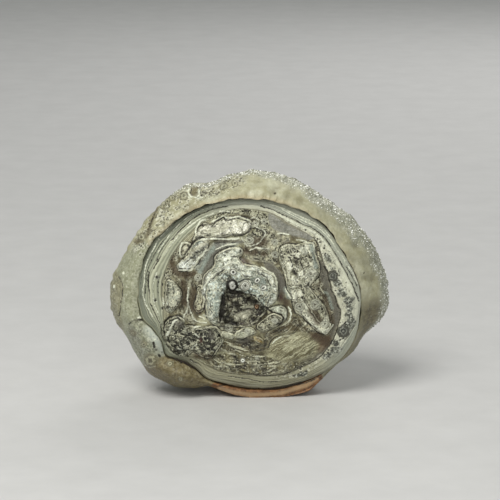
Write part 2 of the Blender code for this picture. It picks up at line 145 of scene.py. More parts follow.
HOOD_FORMS = (
    Form("upper_lobe", 0.45, 2.2, ((-18.2, 10.6, 1.6), (-19.8, 13.0, 1.0))),
    Form("lower_lobe", 0.40, 2.2, ((-15.0, 4.8, 1.4), (-11.5, 4.0, 1.4))),
    Form("hood_pit", -0.80, 0.7, ((-10.0, 37.5, 0.45), (-9.9, 38.2, 0.55))),
    Form("hood_streak", -0.35, 0.6, ((-18.7, 29.4, 0.3), (-18.1, 31.3, 0.4), (-17.2, 33.1, 0.2))),
    Form("left_ledge", 0.30, 0.5, ((-24.3, 20.4, 0.9), (-24.6, 17.5, 1.2), (-23.9, 14.2, 0.8))),
)

# Gentle waves over the whole stone, as (wavelength, height) in millimetres
WAVES = ((9.0, 0.30), (3.2, 0.12))
WAVE_SHIFT = (3.7, 1.9, 8.3)

# Shifts of the noise that bends the drawn outlines and lines
FACE_WARP_SHIFT, RIM_WARP_SHIFT = 4.1, 52.0

# Lines of the face that run round it: the dark line inside its outer bands, and the core's edge
FACE_LINE = (
    (-4.0, 34.95), (-6.0, 34.55), (-8.0, 33.85), (-10.0, 32.7), (-12.0, 30.9), (-14.0, 28.7),
    (-15.8, 25.8), (-17.1, 23.5), (-17.9, 21.5), (-17.9, 19.5), (-17.6, 17.2), (-16.9, 15.4),
    (-16.1, 13.8), (-15.8, 12.0), (-15.3, 10.5), (-14.1, 8.7), (-12.8, 7.8), (-11.1, 7.4),
    (-9.2, 6.1), (-7.1, 4.5), (-4.0, 3.85), (-1.5, 3.6), (0.5, 3.2), (2.5, 2.85), (5.0, 2.9),
    (8.5, 3.7), (11.5, 5.0), (14.0, 6.9), (15.8, 8.7), (16.9, 10.4), (17.8, 11.6), (18.6, 13.0),
    (19.3, 15.0), (19.5, 17.6), (18.9, 19.2), (18.2, 20.9), (17.3, 22.5), (15.2, 26.0),
    (13.9, 28.0), (12.0, 30.05), (9.0, 31.6), (6.0, 33.3), (4.0, 34.25), (2.0, 34.95), (-1.0, 35.2),
)
CORE_EDGE = (
    (-2.7, 34.4), (1.5, 34.3), (3.5, 33.8), (5.0, 33.1), (6.5, 32.1), (8.5, 30.9), (10.5, 29.7),
    (11.8, 28.5), (12.7, 26.0), (13.2, 24.0), (13.9, 22.1), (14.5, 19.6), (15.4, 17.5), (16.0, 16.1),
    (16.05, 14.8), (15.7, 13.3), (15.2, 11.7), (14.5, 10.2), (13.6, 8.8), (12.5, 7.5), (11.3, 6.6),
    (9.9, 5.9), (8.0, 5.0), (6.0, 4.3), (4.0, 4.0), (2.0, 4.05), (0.0, 4.3), (-4.4, 4.6),
    (-7.1, 5.7), (-9.1, 6.6), (-10.7, 7.5), (-12.6, 7.9), (-14.2, 8.9), (-15.2, 10.2), (-15.5, 12.1),
    (-15.4, 13.9), (-15.3, 16.4), (-15.6, 18.8), (-15.5, 21.0), (-14.2, 25.1), (-12.1, 28.4),
    (-9.4, 31.2), (-5.9, 33.5),
)

# Closed outlines of the face's markings, as (x, z)
OUTLINES = {
    "crescent_body": (
        (0.0, 32.5), (-1.2, 32.8), (-2.8, 32.9), (-4.3, 33.0), (-5.7, 32.2), (-6.9, 31.5), (-8.0, 31.8),
        (-9.1, 31.0), (-9.7, 29.7), (-10.1, 28.6), (-9.2, 29.0), (-7.1, 29.3), (-5.3, 29.4), (-2.8, 29.6),
        (-0.9, 29.9), (0.1, 30.7), (0.5, 31.7),
    ),
    "crescent_leaf": (
        (-10.3, 27.9), (-9.4, 28.8), (-8.0, 28.8), (-7.3, 28.1), (-7.9, 26.8), (-8.8, 25.9), (-9.1, 24.9),
        (-10.0, 23.9), (-11.2, 23.2), (-12.5, 23.3), (-13.0, 24.1), (-12.3, 25.0), (-11.2, 26.0),
        (-10.7, 26.9),
    ),
    "crescent_tip": (
        (-12.2, 26.3), (-12.4, 27.3), (-11.9, 28.2), (-11.0, 28.4), (-10.4, 28.1), (-10.5, 27.2),
        (-11.1, 26.3), (-11.7, 25.8),
    ),
    "crescent_eye": (
        (-0.2, 31.5), (-0.9, 32.2), (-2.3, 32.2), (-3.2, 31.7), (-3.4, 30.6), (-2.8, 29.9), (-1.6, 29.9),
        (-0.5, 30.4),
    ),
    "bulb": (
        (-6.1, 26.0), (-4.8, 27.0), (-3.2, 27.5), (-1.5, 27.2), (-1.3, 26.3), (-1.8, 25.4), (-0.4, 24.4),
        (1.4, 24.1), (3.0, 23.1), (4.2, 22.4), (4.9, 20.8), (5.0, 19.0), (4.4, 17.5), (3.3, 16.6),
        (1.7, 14.6), (-0.9, 13.2), (-5.3, 13.2), (-7.1, 13.9), (-7.8, 15.7), (-8.0, 17.5), (-8.5, 19.3),
        (-8.4, 21.9), (-7.7, 23.1), (-6.5, 24.2),
    ),
    "bulb_inner": (
        (-7.7, 20.1), (-7.5, 21.0), (-6.4, 22.1), (-4.8, 23.3), (-3.2, 23.9), (-2.0, 23.3), (-1.1, 22.4),
        (0.1, 22.2), (1.7, 22.6), (2.8, 21.9), (3.5, 20.6), (3.6, 19.0), (3.2, 17.7), (2.5, 16.1),
        (-0.9, 13.9), (-5.2, 14.6), (-6.9, 16.1), (-7.7, 17.5),
    ),
    "cavity": (
        (-4.0, 20.2), (-4.7, 18.1), (-5.3, 16.1), (-5.7, 14.1), (-5.2, 12.6), (-2.8, 12.2), (-2.1, 13.0),
        (0.0, 13.3), (1.7, 14.6), (2.5, 16.1), (1.7, 17.5), (0.5, 18.8), (-0.9, 19.3), (-2.1, 19.5),
    ),
    "right_island": (
        (5.3, 27.5), (6.7, 28.1), (8.5, 28.1), (10.1, 28.5), (11.4, 28.1), (11.4, 26.8), (11.9, 25.5),
        (12.4, 24.2), (12.3, 22.8), (11.5, 21.5), (10.7, 20.5), (11.5, 19.0), (13.0, 17.3), (13.9, 15.5),
        (14.2, 13.9), (14.6, 13.0), (13.6, 11.8), (12.5, 11.9), (11.4, 12.7), (10.1, 13.9), (9.0, 15.2),
        (8.1, 15.8), (7.6, 17.0), (7.1, 18.6), (6.4, 20.6), (6.2, 22.4), (5.8, 23.7), (5.2, 25.1),
        (5.1, 26.4),
    ),
    "island_lower": (
        (9.8, 20.1), (11.5, 19.0), (13.0, 17.0), (13.3, 15.1), (13.1, 13.9), (12.2, 13.9), (11.4, 15.0),
        (10.5, 16.4), (9.8, 17.9),
    ),
    "cluster": (
        (-11.9, 14.6), (-13.2, 15.1), (-14.7, 14.4), (-15.6, 13.2), (-15.8, 11.7), (-15.3, 10.2),
        (-14.2, 8.8), (-12.6, 7.8), (-11.0, 7.9), (-10.0, 8.4), (-8.5, 7.5), (-6.9, 7.3), (-6.0, 8.4),
        (-5.3, 9.5), (-4.6, 10.6), (-5.2, 12.1), (-5.9, 13.0), (-7.1, 13.2), (-8.7, 12.9), (-10.1, 13.2),
        (-11.6, 13.5),
    ),
    "left_lens": (
        (-14.9, 21.1), (-14.4, 21.8), (-13.5, 21.2), (-12.6, 20.2), (-12.1, 19.1), (-12.4, 17.7),
        (-13.2, 16.4), (-14.2, 15.7), (-14.9, 16.2), (-15.2, 17.5), (-15.1, 19.3),
    ),
    "cell_chain": (
        (-9.3, 20.5), (-8.6, 20.8), (-8.1, 19.7), (-8.0, 18.1), (-8.3, 16.2), (-9.1, 15.6), (-9.8, 16.2),
        (-10.0, 17.1), (-9.4, 18.6),
    ),
    "loop": (
        (3.2, 16.3), (4.2, 16.8), (5.7, 16.9), (6.6, 16.1), (6.6, 14.8), (5.9, 14.1), (5.3, 15.2),
        (4.2, 15.7),
    ),
    "ring_lens": (
        (1.2, 13.0), (2.5, 14.6), (4.1, 15.6), (5.7, 14.9), (5.9, 13.9), (4.6, 13.1), (2.6, 12.2),
    ),
    "white_cell_1": (
        (-5.1, 12.1), (-4.2, 12.2), (-2.8, 11.7), (-3.2, 10.8), (-4.4, 11.0),
    ),
    "white_cell_2": (
        (-2.8, 11.3), (-2.1, 12.4), (-0.5, 13.1), (0.5, 12.8), (1.1, 12.0), (-0.3, 11.4), (-1.6, 10.8),
    ),
    "yellow_cell": (
        (0.6, 11.2), (1.5, 11.3), (2.4, 10.7), (2.3, 10.0), (1.2, 10.2),
    ),
    "lower_lens": (
        (3.3, 9.2), (3.8, 10.4), (5.1, 11.4), (6.9, 11.7), (8.7, 11.8), (10.5, 11.3), (11.9, 10.4),
        (12.2, 9.0), (10.5, 7.5), (8.0, 6.8), (5.1, 7.3), (3.5, 8.1),
    ),
    "brown_patch": (
        (10.5, 11.5), (11.9, 11.7), (13.3, 11.3), (14.2, 11.3), (13.9, 9.7), (12.8, 8.6), (12.2, 8.8),
        (12.3, 10.2), (11.4, 11.0),
    ),
    "wedge": (
        (-9.0, 6.0), (-8.0, 6.0), (-6.6, 5.1), (-3.9, 4.4), (-5.3, 3.8), (-7.1, 4.1), (-8.3, 4.9),
    ),
    "grey_zone": (
        (3.3, 33.7), (6.2, 31.9), (9.0, 30.4), (11.2, 29.5), (10.5, 28.8), (8.7, 29.3), (6.6, 29.9),
        (4.8, 30.4), (3.5, 31.5),
    ),
    "grey_arc": (
        (2.5, 25.1), (4.2, 24.4), (5.7, 22.8), (6.3, 20.2), (6.0, 18.6), (5.2, 17.5), (5.0, 19.0),
        (4.9, 20.8), (4.2, 22.4), (3.0, 23.1),
    ),
    "swirl_zone": (
        (-0.9, 27.9), (1.2, 29.0), (3.5, 30.8), (5.8, 29.9), (7.1, 29.0), (5.3, 27.5), (5.0, 25.5),
        (4.2, 24.5), (1.4, 25.0), (-0.9, 25.7),
    ),
    "blue_band": (
        (-1.4, 28.7), (-3.6, 28.4), (-6.2, 28.4), (-7.8, 27.0), (-8.7, 25.3), (-9.8, 23.7), (-8.7, 22.8),
        (-8.0, 23.5), (-6.4, 24.4), (-6.2, 26.1), (-4.8, 27.1), (-2.7, 27.6),
    ),
    "left_brown": (
        (-13.3, 23.1), (-10.3, 23.2), (-8.7, 22.6), (-8.7, 21.0), (-9.6, 20.2), (-9.8, 18.2),
        (-10.3, 17.0), (-10.0, 15.1), (-9.3, 13.9), (-10.7, 13.5), (-11.7, 14.6), (-13.3, 15.3),
        (-14.1, 15.5), (-12.6, 16.6), (-11.9, 18.8), (-12.6, 20.6), (-13.7, 21.9),
    ),
    "left_grains": (
        (-15.3, 21.6), (-15.0, 24.0), (-14.0, 26.3), (-13.0, 28.2), (-12.4, 28.6), (-12.6, 27.0),
        (-12.7, 25.4), (-13.2, 24.0), (-12.9, 22.8), (-13.9, 21.9), (-14.6, 21.5),
    ),
    "right_flank": (
        (10.6, 28.9), (11.9, 28.6), (12.6, 26.0), (12.9, 24.2), (13.4, 21.4), (14.2, 18.6), (14.9, 15.8),
        (14.6, 13.2), (13.6, 11.4), (11.8, 11.8), (9.6, 13.4), (9.8, 16.4), (9.4, 20.1), (11.0, 23.0),
        (10.8, 26.0),
    ),
    "top_speckle": (
        (-8.4, 32.4), (-4.6, 34.1), (-0.5, 34.4), (2.6, 33.6), (3.5, 31.8), (2.6, 29.8), (0.8, 28.2),
        (-0.9, 28.0), (-1.5, 29.2), (0.6, 30.5), (1.0, 31.9), (0.2, 33.1), (-3.0, 33.5), (-6.0, 32.6),
    ),
    "low_brown": (
        (-4.6, 10.4), (-2.6, 10.6), (0.0, 11.2), (1.4, 9.8), (2.4, 10.0), (2.8, 11.9), (5.0, 12.9),
        (7.2, 14.6), (9.0, 14.6), (10.8, 12.9), (12.0, 11.8), (8.7, 12.1), (5.0, 11.7), (3.5, 10.5),
        (2.9, 9.0), (0.0, 8.3), (-3.0, 8.4), (-5.4, 8.8),
    ),
    "bottom": (
        (-8.2, 7.1), (-5.6, 8.0), (-3.0, 8.2), (0.0, 8.0), (3.0, 7.6), (6.5, 6.6), (9.5, 6.6),
        (11.6, 7.8), (11.2, 7.2), (9.0, 5.5), (6.2, 4.7), (2.6, 4.2), (-0.9, 4.3), (-4.4, 4.8),
        (-7.1, 5.9),
    ),
}
ISLANDS = (
    "crescent_body", "crescent_leaf", "crescent_tip", "bulb", "right_island", "left_lens",
    "cell_chain", "loop", "ring_lens", "white_cell_1", "white_cell_2", "yellow_cell", "cluster",
)
NESTED = ("crescent_eye", "bulb_inner", "island_lower", "cavity")

# Round eyes and orbs as (x, z, radius). An eye is white round a black dot with a dark rim, or with a
# thin one if it is small. A swirl has grey and pale rings round a dark dot, a dark orb is grey with
# pale rings, a pale one is a faint ring, and a rust one is brown with a tan rim
Orb = namedtuple("Orb", "x z radius")
ORBS = {
    "eye": (Orb(-3.15, 20.7, 1.05),),
    "swirl": (Orb(-0.9, 20.7, 0.95),),
    "small_eye": (Orb(-3.0, 23.05, 0.62), Orb(2.45, 20.3, 0.58), Orb(1.35, 21.6, 0.5), Orb(-1.3, 6.9, 0.5)),
    "pale": (
        Orb(-3.7, 12.9, 0.8), Orb(-0.4, 12.3, 0.5), Orb(4.4, 14.2, 0.6), Orb(-0.1, 28.8, 0.8),
        Orb(0.9, 31.7, 0.6),
        Orb(2.5, 32.2, 0.6), Orb(4.4, 26.2, 0.7), Orb(4.4, 28.5, 0.6), Orb(9.6, 26.6, 0.6),
        Orb(8.8, 16.8, 0.9), Orb(11.5, 17.2, 1.1), Orb(13.3, 13.7, 0.8), Orb(-9.2, 22.1, 0.7),
        Orb(1.2, 7.4, 0.4), Orb(10.8, 22.9, 1.1)),
    "dark": (Orb(14.7, 22.4, 0.95), Orb(16.6, 12.2, 1.1), Orb(15.3, 10.0, 0.5)),
    "rust": (Orb(1.2, 16.7, 0.5),),
}

# Drawn lines of the face: each is its width and the points that it runs through
STROKES = {
    "white": (
        (0.28, (-9.6, 30.2), (-9.5, 31.0), (-8.7, 32.2), (-7.9, 32.4)),
        (0.28, (-6.9, 31.9), (-6.2, 32.3), (-5.2, 32.8), (-4.6, 33.1), (-3.9, 32.7), (-2.8, 32.9),
         (-1.8, 33.0), (-0.2, 32.4)),
        (0.3, (-5.3, 34.0), (-3.7, 33.95)),
        (0.3, (-12.6, 23.4), (-10.8, 23.3), (-9.7, 24.3), (-8.9, 25.6), (-7.6, 27.1)),
        (0.28, (-11.0, 28.3), (-11.6, 28.4), (-12.1, 28.2), (-12.4, 27.4), (-12.4, 26.1), (-12.1, 25.7)),
        (0.35, (-8.6, 28.9), (-6.0, 29.1), (-3.6, 29.0), (-2.0, 29.2)),
        (0.22, (-6.0, 27.1), (-5.0, 27.6), (-3.9, 28.0), (-2.5, 28.1)),
        (0.2, (-6.9, 21.6), (-6.0, 22.9), (-4.4, 24.2), (-3.0, 24.8), (-1.9, 24.3), (-0.6, 23.6),
         (1.2, 23.4)),
        (0.22, (-5.7, 25.2), (-4.6, 25.6), (-3.2, 25.9), (-2.2, 25.3)),
        (0.25, (-8.05, 20.4), (-7.3, 21.7), (-6.2, 22.7), (-5.2, 23.4)),
        (0.28, (2.2, 23.9), (3.4, 23.1), (4.1, 22.6), (4.7, 21.4), (4.9, 20.0)),
        (0.2, (0.1, 31.2), (1.2, 31.1), (2.7, 30.2), (2.2, 29.2), (1.6, 28.4), (0.3, 27.8), (-0.9, 28.1),
         (-1.5, 29.2)),
        (0.2, (0.1, 32.7), (0.9, 32.9), (1.6, 32.1), (1.3, 31.4)),
        (0.22, (0.0, 27.0), (1.0, 27.4), (2.0, 27.3), (3.4, 27.3)),
        (0.25, (5.0, 30.0), (5.9, 30.0), (6.8, 29.8)), (0.25, (8.3, 28.8), (9.2, 28.7), (10.2, 28.4)),
        (0.22, (8.9, 27.2), (9.7, 27.3), (10.0, 26.4), (9.3, 26.7), (8.9, 27.2)),
        (0.22, (11.1, 28.3), (11.3, 27.4), (11.4, 26.5)), (0.2, (9.4, 17.6), (9.8, 17.1), (10.1, 16.4)),
        (0.22, (9.5, 15.3), (10.3, 14.3), (11.3, 13.5), (12.1, 13.0), (13.3, 11.9), (14.2, 12.4),
         (14.8, 13.4)),
        (0.16, (12.6, 13.3), (13.3, 12.5), (14.0, 12.9), (14.4, 13.6)),
        (0.2, (-6.3, 18.0), (-6.1, 17.8), (-5.2, 17.9)), (0.25, (-8.9, 15.0), (-8.5, 14.8), (-8.1, 14.4)),
        (0.25, (-8.2, 15.3), (-7.6, 15.0), (-6.9, 15.1), (-6.2, 15.9)),
        (0.22, (-9.9, 13.0), (-8.8, 13.1)), (0.22, (-9.6, 12.6), (-8.6, 12.6)),
        (0.28, (-9.8, 11.8), (-9.0, 11.2)), (0.28, (-10.4, 9.3), (-9.5, 9.9)),
        (0.25, (-12.8, 9.3), (-12.2, 9.0)), (0.25, (-15.5, 18.3), (-15.4, 17.0)),
        (0.35, (-14.8, 11.0), (-14.2, 12.6), (-13.6, 13.8), (-13.0, 14.3)),
        (0.22, (4.0, 10.0), (4.6, 10.6), (5.6, 11.2), (7.0, 11.45)),
        (0.24, (5.7, 16.3), (6.2, 15.8), (6.3, 15.0), (6.0, 14.6)),
        (0.24, (6.8, 16.7), (7.2, 16.0), (7.3, 15.1), (7.0, 14.1)),
        (0.35, (5.4, 33.15), (6.7, 32.5), (8.3, 31.75), (10.0, 30.9), (11.6, 30.0), (12.8, 29.0),
         (13.6, 27.9)),
        (0.16, (5.8, 34.3), (8.0, 33.1), (10.0, 32.1), (12.0, 31.1), (13.8, 29.5), (15.4, 27.3),
         (17.0, 24.8), (18.3, 22.8), (19.1, 20.9)),
        (0.14, (3.5, 35.3), (5.5, 34.7), (7.5, 33.8), (9.5, 32.8), (12.0, 31.6), (14.2, 29.6)),
        (0.16, (18.7, 13.0), (17.9, 11.5), (17.0, 10.2), (15.9, 8.6)),
        (0.15, (-18.9, 18.5), (-19.1, 19.9), (-18.8, 21.0), (-18.6, 23.5), (-18.0, 25.5), (-16.0, 29.1),
         (-14.0, 31.5), (-12.0, 33.3), (-10.7, 34.1)),
        (0.15, (-17.3, 15.0), (-18.2, 16.5), (-18.9, 18.5)),
        (0.14, (-16.2, 26.6), (-14.6, 29.3), (-12.6, 31.6), (-10.6, 33.2), (-8.0, 34.5), (-5.0, 35.4)),
        (0.18, (-15.2, 26.0), (-13.7, 28.3), (-11.9, 30.3), (-9.9, 31.9), (-8.3, 32.9), (-6.4, 33.6)),
        (0.15, (-16.5, 23.0), (-17.1, 21.2), (-17.2, 19.0), (-16.9, 17.0), (-16.2, 15.2)),
        (0.35, (-10.75, 31.9), (-10.5, 32.1)), (0.3, (7.1, 16.0), (7.2, 16.05)),
        (0.22, (-10.9, 20.2), (-11.1, 18.6), (-11.0, 17.0), (-11.3, 15.9), (-11.8, 14.9), (-11.8, 13.9)),
        (0.18, (-10.9, 16.9), (-10.4, 15.4), (-9.9, 14.4), (-8.8, 13.9), (-7.8, 13.8)),
        (0.22, (6.3, 20.0), (6.8, 18.9), (7.2, 18.2)),
    ),
    "dark": (
        (0.22, (-9.4, 30.3), (-9.1, 31.1), (-8.7, 31.4), (-7.6, 31.6), (-7.0, 31.3), (-6.5, 31.4),
         (-6.1, 32.1), (-5.6, 32.4), (-5.0, 32.8), (-4.5, 32.9), (-4.2, 32.3), (-2.6, 32.7), (-2.0, 32.8),
         (-0.8, 32.3), (0.1, 31.8), (0.0, 30.7), (-0.8, 30.0), (-1.5, 29.8), (-3.5, 29.75)),
        (0.13, (-4.9, 33.75), (-3.6, 33.75)),
        (0.3, (-8.1, 29.3), (-9.3, 29.1), (-10.1, 28.2), (-10.6, 27.6), (-11.3, 26.6), (-11.8, 25.4)),
        (0.15, (-11.7, 24.4), (-10.8, 25.3), (-10.0, 25.9), (-9.2, 26.8)),
        (0.14, (-9.0, 24.6), (-8.7, 25.5)), (0.14, (-12.5, 23.7), (-10.8, 23.6)),
        (0.22, (-11.3, 28.0), (-11.9, 27.8), (-12.1, 27.0), (-12.1, 26.2), (-11.7, 26.1), (-11.0, 27.0),
         (-10.9, 27.7), (-11.3, 28.0)),
        (0.14, (-6.2, 28.3), (-4.4, 28.45), (-2.5, 28.35)),
        (0.14, (-7.3, 23.4), (-6.9, 24.0), (-6.4, 24.6), (-6.3, 25.2), (-6.4, 25.9), (-5.5, 26.5),
         (-4.6, 27.2), (-3.8, 27.6), (-2.5, 27.7), (-1.6, 27.4), (-1.8, 26.5)),
        (0.2, (-3.4, 25.9), (-2.2, 25.8)), (0.42, (-1.75, 25.65), (-1.65, 25.55)),
        (0.14, (-7.9, 20.1), (-7.1, 21.4), (-6.0, 22.4), (-5.0, 23.1), (-4.5, 23.6)),
        (0.13, (0.2, 22.8), (1.5, 22.7), (2.7, 22.3), (3.2, 21.3), (3.75, 20.6)),
        (0.4, (-4.1, 19.5), (-4.1, 20.5), (-3.6, 21.2), (-2.9, 21.4), (-2.3, 21.0), (-2.1, 20.3)),
        (0.24, (-2.0, 21.3), (-1.3, 21.75), (-0.5, 21.8), (0.2, 21.5), (0.4, 20.8)),
        (0.3, (-4.2, 20.2), (-4.6, 19.3), (-4.9, 18.3), (-5.1, 17.0)),
        (0.22, (-1.0, 19.3), (0.5, 18.9), (1.5, 18.2), (2.0, 17.5), (2.6, 16.9), (3.3, 16.5)),
        (0.18, (-3.8, 19.2), (-2.4, 19.3), (-1.2, 19.2)),
        (0.18, (-3.6, 18.4), (-2.5, 18.4), (-1.3, 18.5)), (0.5, (-0.3, 18.1), (-0.2, 18.1)),
        (0.2, (-1.2, 16.1), (-0.3, 16.3), (0.6, 16.2)), (0.2, (-8.15, 19.5), (-7.9, 18.3), (-8.1, 16.2)),
        (0.14, (-9.0, 20.5), (-9.5, 19.9), (-9.7, 18.4), (-9.9, 17.1), (-9.2, 16.0), (-8.3, 16.4)),
        (0.18, (5.2, 24.0), (5.6, 23.3), (6.0, 22.3), (6.4, 20.5), (6.8, 19.4), (7.2, 18.9), (7.5, 17.5),
         (7.9, 16.1), (8.2, 15.3), (8.5, 15.0)),
        (0.22, (8.8, 25.0), (9.5, 23.6)), (0.2, (9.0, 26.0), (9.6, 25.2)),
        (0.2, (7.8, 25.7), (8.4, 25.4)), (0.14, (7.2, 20.0), (8.0, 20.0)),
        (0.25, (9.1, 20.6), (9.15, 20.6)), (0.25, (10.3, 20.7), (10.35, 20.7)),
        (0.26, (9.4, 15.0), (10.2, 13.9), (11.3, 13.1), (11.8, 12.7)),
        (0.16, (10.2, 20.8), (11.0, 20.1), (11.8, 19.5)),
        (0.16, (3.5, 16.5), (4.2, 16.8), (5.6, 17.0), (6.5, 16.4), (6.7, 15.6), (6.4, 14.2)),
        (0.3, (3.0, 16.5), (4.2, 15.7), (5.5, 15.3), (5.9, 14.4), (5.2, 13.4)),
        (0.18, (3.2, 9.2), (3.5, 9.9), (4.0, 10.7), (4.7, 11.2), (5.5, 11.5), (7.2, 11.75), (8.0, 11.95)),
        (0.15, (0.3, 32.4), (0.9, 32.5), (1.2, 32.0), (0.8, 31.6), (0.3, 31.8), (0.3, 32.4)),
        (0.16, (0.3, 30.9), (1.1, 30.8), (2.4, 30.1), (1.6, 29.4), (0.6, 29.9), (0.3, 30.9)),
        (0.16, (-0.4, 28.9), (0.0, 29.2), (0.4, 28.9), (0.1, 28.4), (-0.4, 28.9)),
        (0.26, (-1.5, 33.1), (-0.2, 32.9)), (0.3, (2.1, 30.15), (2.15, 30.1)),
        (0.3, (1.2, 30.4), (1.25, 30.4)), (0.35, (13.2, 24.0), (13.6, 23.2), (13.9, 22.1), (14.2, 21.0)),
        (0.2, (14.2, 21.0), (14.5, 19.6), (14.9, 19.1), (15.4, 17.5), (15.7, 16.5), (16.0, 16.1),
         (16.05, 14.8), (15.7, 13.3), (15.2, 11.7), (14.5, 10.2), (13.6, 8.8), (12.5, 7.5), (11.3, 6.6),
         (9.9, 5.9), (8.0, 5.0), (6.0, 4.3), (4.0, 4.0), (2.0, 4.05), (0.0, 4.3)),
        (0.15, (11.2, 29.3), (11.8, 28.5), (12.4, 26.8), (12.9, 25.0)),
        (0.2, (-14.0, 28.7), (-13.0, 29.8), (-12.0, 30.9), (-10.8, 32.0), (-10.0, 32.7), (-9.0, 33.4),
         (-8.0, 33.85), (-7.0, 34.25), (-6.0, 34.55), (-4.0, 34.95)),
        (0.2, (2.0, 34.95), (3.0, 34.6), (4.0, 34.25), (5.0, 33.8), (6.0, 33.3), (7.3, 32.7), (9.0, 31.9),
         (11.0, 31.0), (12.0, 30.35), (13.0, 29.5), (13.95, 28.3), (16.4, 24.2), (17.3, 22.6),
         (18.2, 20.9), (18.9, 19.2), (19.5, 17.6)),
        (0.14, (17.2, 24.0), (18.3, 22.0), (19.1, 20.5)),
        (0.15, (18.6, 13.2), (17.8, 11.8), (16.9, 10.6)),
        (0.18, (-15.8, 25.8), (-16.8, 24.2), (-17.1, 23.5)),
        (0.2, (-17.6, 17.2), (-16.9, 15.4), (-16.1, 13.8)),
        (0.24, (-17.9, 23.0), (-18.1, 21.5), (-18.0, 20.0), (-17.7, 18.0)),
        (0.22, (-15.9, 13.5), (-15.8, 12.0), (-15.3, 10.5), (-14.7, 9.8), (-14.1, 8.7), (-12.8, 7.8),
         (-11.1, 7.6)),
        (0.18, (-10.8, 7.0), (-9.2, 6.1), (-8.9, 5.9)),
        (0.14, (-4.0, 3.85), (-1.5, 3.6), (0.5, 3.2), (2.5, 2.85), (5.0, 2.9)),
        (0.15, (-12.9, 20.9), (-12.4, 20.2), (-12.0, 19.3), (-12.6, 17.6), (-13.8, 16.0)),
        (0.25, (-15.3, 22.6), (-15.2, 22.3)), (0.25, (-15.5, 20.9), (-15.45, 20.6)),
        (0.22, (-15.2, 19.4), (-15.2, 19.2)), (0.25, (-15.6, 16.6), (-15.6, 16.2)),
        (0.3, (-16.7, 22.1), (-16.6, 22.0)), (0.35, (-16.8, 17.9), (-16.8, 17.8)),
        (0.3, (-13.55, 13.1), (-13.5, 13.0)), (0.2, (-14.0, 10.9), (-13.6, 10.3), (-13.1, 10.5)),
        (0.26, (-12.9, 9.7), (-12.2, 9.3)), (0.22, (-10.6, 9.3), (-10.0, 9.8)),
        (0.26, (-7.9, 9.9), (-6.6, 9.95)), (0.35, (-7.3, 12.5), (-7.2, 12.5)),
        (0.3, (-15.2, 13.9), (-14.2, 14.9), (-12.3, 14.8)),
        (0.28, (-15.3, 14.0), (-15.2, 12.0), (-15.2, 11.2)), (0.15, (17.8, 14.7), (18.3, 14.7)),
        (0.24, (16.1, 12.8), (17.1, 13.9)),
        (0.13, (-18.6, 19.0), (-18.5, 21.2), (-18.0, 23.8), (-17.2, 25.8), (-15.4, 28.6)),
        (0.12, (-16.6, 25.0), (-15.6, 27.2), (-14.2, 29.2)),
        (0.12, (-19.4, 18.0), (-19.5, 20.0), (-19.2, 22.4)),
        (0.12, (-16.0, 22.4), (-16.4, 20.4), (-16.3, 18.6)), (0.25, (17.1, 13.4), (17.15, 13.4)),
        (0.25, (17.7, 13.3), (17.7, 13.35)), (0.25, (15.7, 20.7), (15.75, 20.7)),
        (0.25, (16.9, 20.2), (16.9, 20.25)),
        (0.14, (-20.1, 17.2), (-20.25, 19.0), (-19.9, 21.8), (-19.2, 24.6), (-17.0, 29.0), (-15.3, 30.3)),
        (0.18, (-12.0, 33.0), (-9.0, 34.8), (-7.4, 35.4), (-5.0, 36.0), (-1.0, 36.35), (3.0, 36.2),
         (6.0, 35.65), (8.0, 34.9), (10.0, 34.0), (12.0, 32.7), (14.0, 30.9), (16.0, 27.9), (18.4, 23.6),
         (19.6, 20.5), (19.9, 18.5)),
    ),
    "black": (
        (0.8, (-4.6, 18.6), (-4.9, 16.6), (-5.1, 14.9)), (0.7, (2.4, 16.6), (2.8, 15.4)),
        (0.7, (-3.3, 19.4), (-1.6, 19.3)), (0.8, (-2.6, 17.3), (-2.2, 16.6)),
        (0.6, (-0.6, 18.0), (1.0, 17.6)), (0.5, (-4.2, 13.9), (-2.6, 13.5)),
        (0.5, (0.6, 13.7), (1.8, 14.6)),
    ),
    "grey": (
        (1.1, (-8.6, 21.3), (-8.0, 23.0), (-7.3, 24.8), (-6.5, 26.3), (-5.5, 27.2)),
        (0.5, (-5.3, 28.6), (-3.2, 28.75), (-1.5, 28.5)),
        (1.1, (3.6, 23.8), (5.0, 22.2), (5.6, 21.0), (5.7, 19.6)),
        (1.0, (12.6, 24.6), (12.9, 23.4), (13.2, 21.5), (13.9, 19.5), (14.6, 18.0), (15.2, 16.5),
         (15.4, 15.0), (15.3, 13.6)),
        (0.9, (-16.7, 21.2), (-16.6, 19.2)), (0.5, (-2.0, 10.5), (-0.2, 10.7)),
        (0.7, (-12.9, 13.6), (-12.5, 13.5)), (0.6, (-7.0, 12.2), (-6.8, 11.2)),
        (1.1, (18.1, 14.1), (18.2, 13.9)),
    ),
    "blue": (
        (0.5, (-8.9, 23.0), (-8.0, 24.9), (-7.1, 26.3), (-6.4, 27.4)),
        (0.4, (-10.4, 27.4), (-9.6, 28.3), (-8.3, 28.9)), (0.8, (6.5, 19.9), (6.9, 18.4)),
        (0.6, (0.5, 22.0), (1.6, 21.9), (2.5, 21.3)), (0.35, (13.5, 19.3), (14.1, 17.9), (14.6, 16.5)),
        (0.7, (-6.2, 15.4), (-5.9, 17.6), (-5.6, 19.2)), (0.6, (10.8, 28.0), (11.4, 25.4), (11.7, 23.9)),
    ),
    "brown": (
        (0.55, (13.3, 18.5), (13.6, 17.0), (14.0, 15.5), (14.6, 14.3), (14.6, 13.2)),
        (1.4, (0.8, 28.5), (2.3, 28.6)), (0.9, (-0.8, 26.8), (0.8, 26.8)),
        (0.9, (2.4, 26.3), (2.5, 26.3)), (0.7, (5.4, 18.9), (5.5, 18.0)), (0.9, (6.5, 17.7), (6.6, 17.5)),
        (1.3, (11.0, 16.4), (11.4, 15.4), (12.1, 14.2)), (1.8, (12.2, 11.2), (13.6, 10.4)),
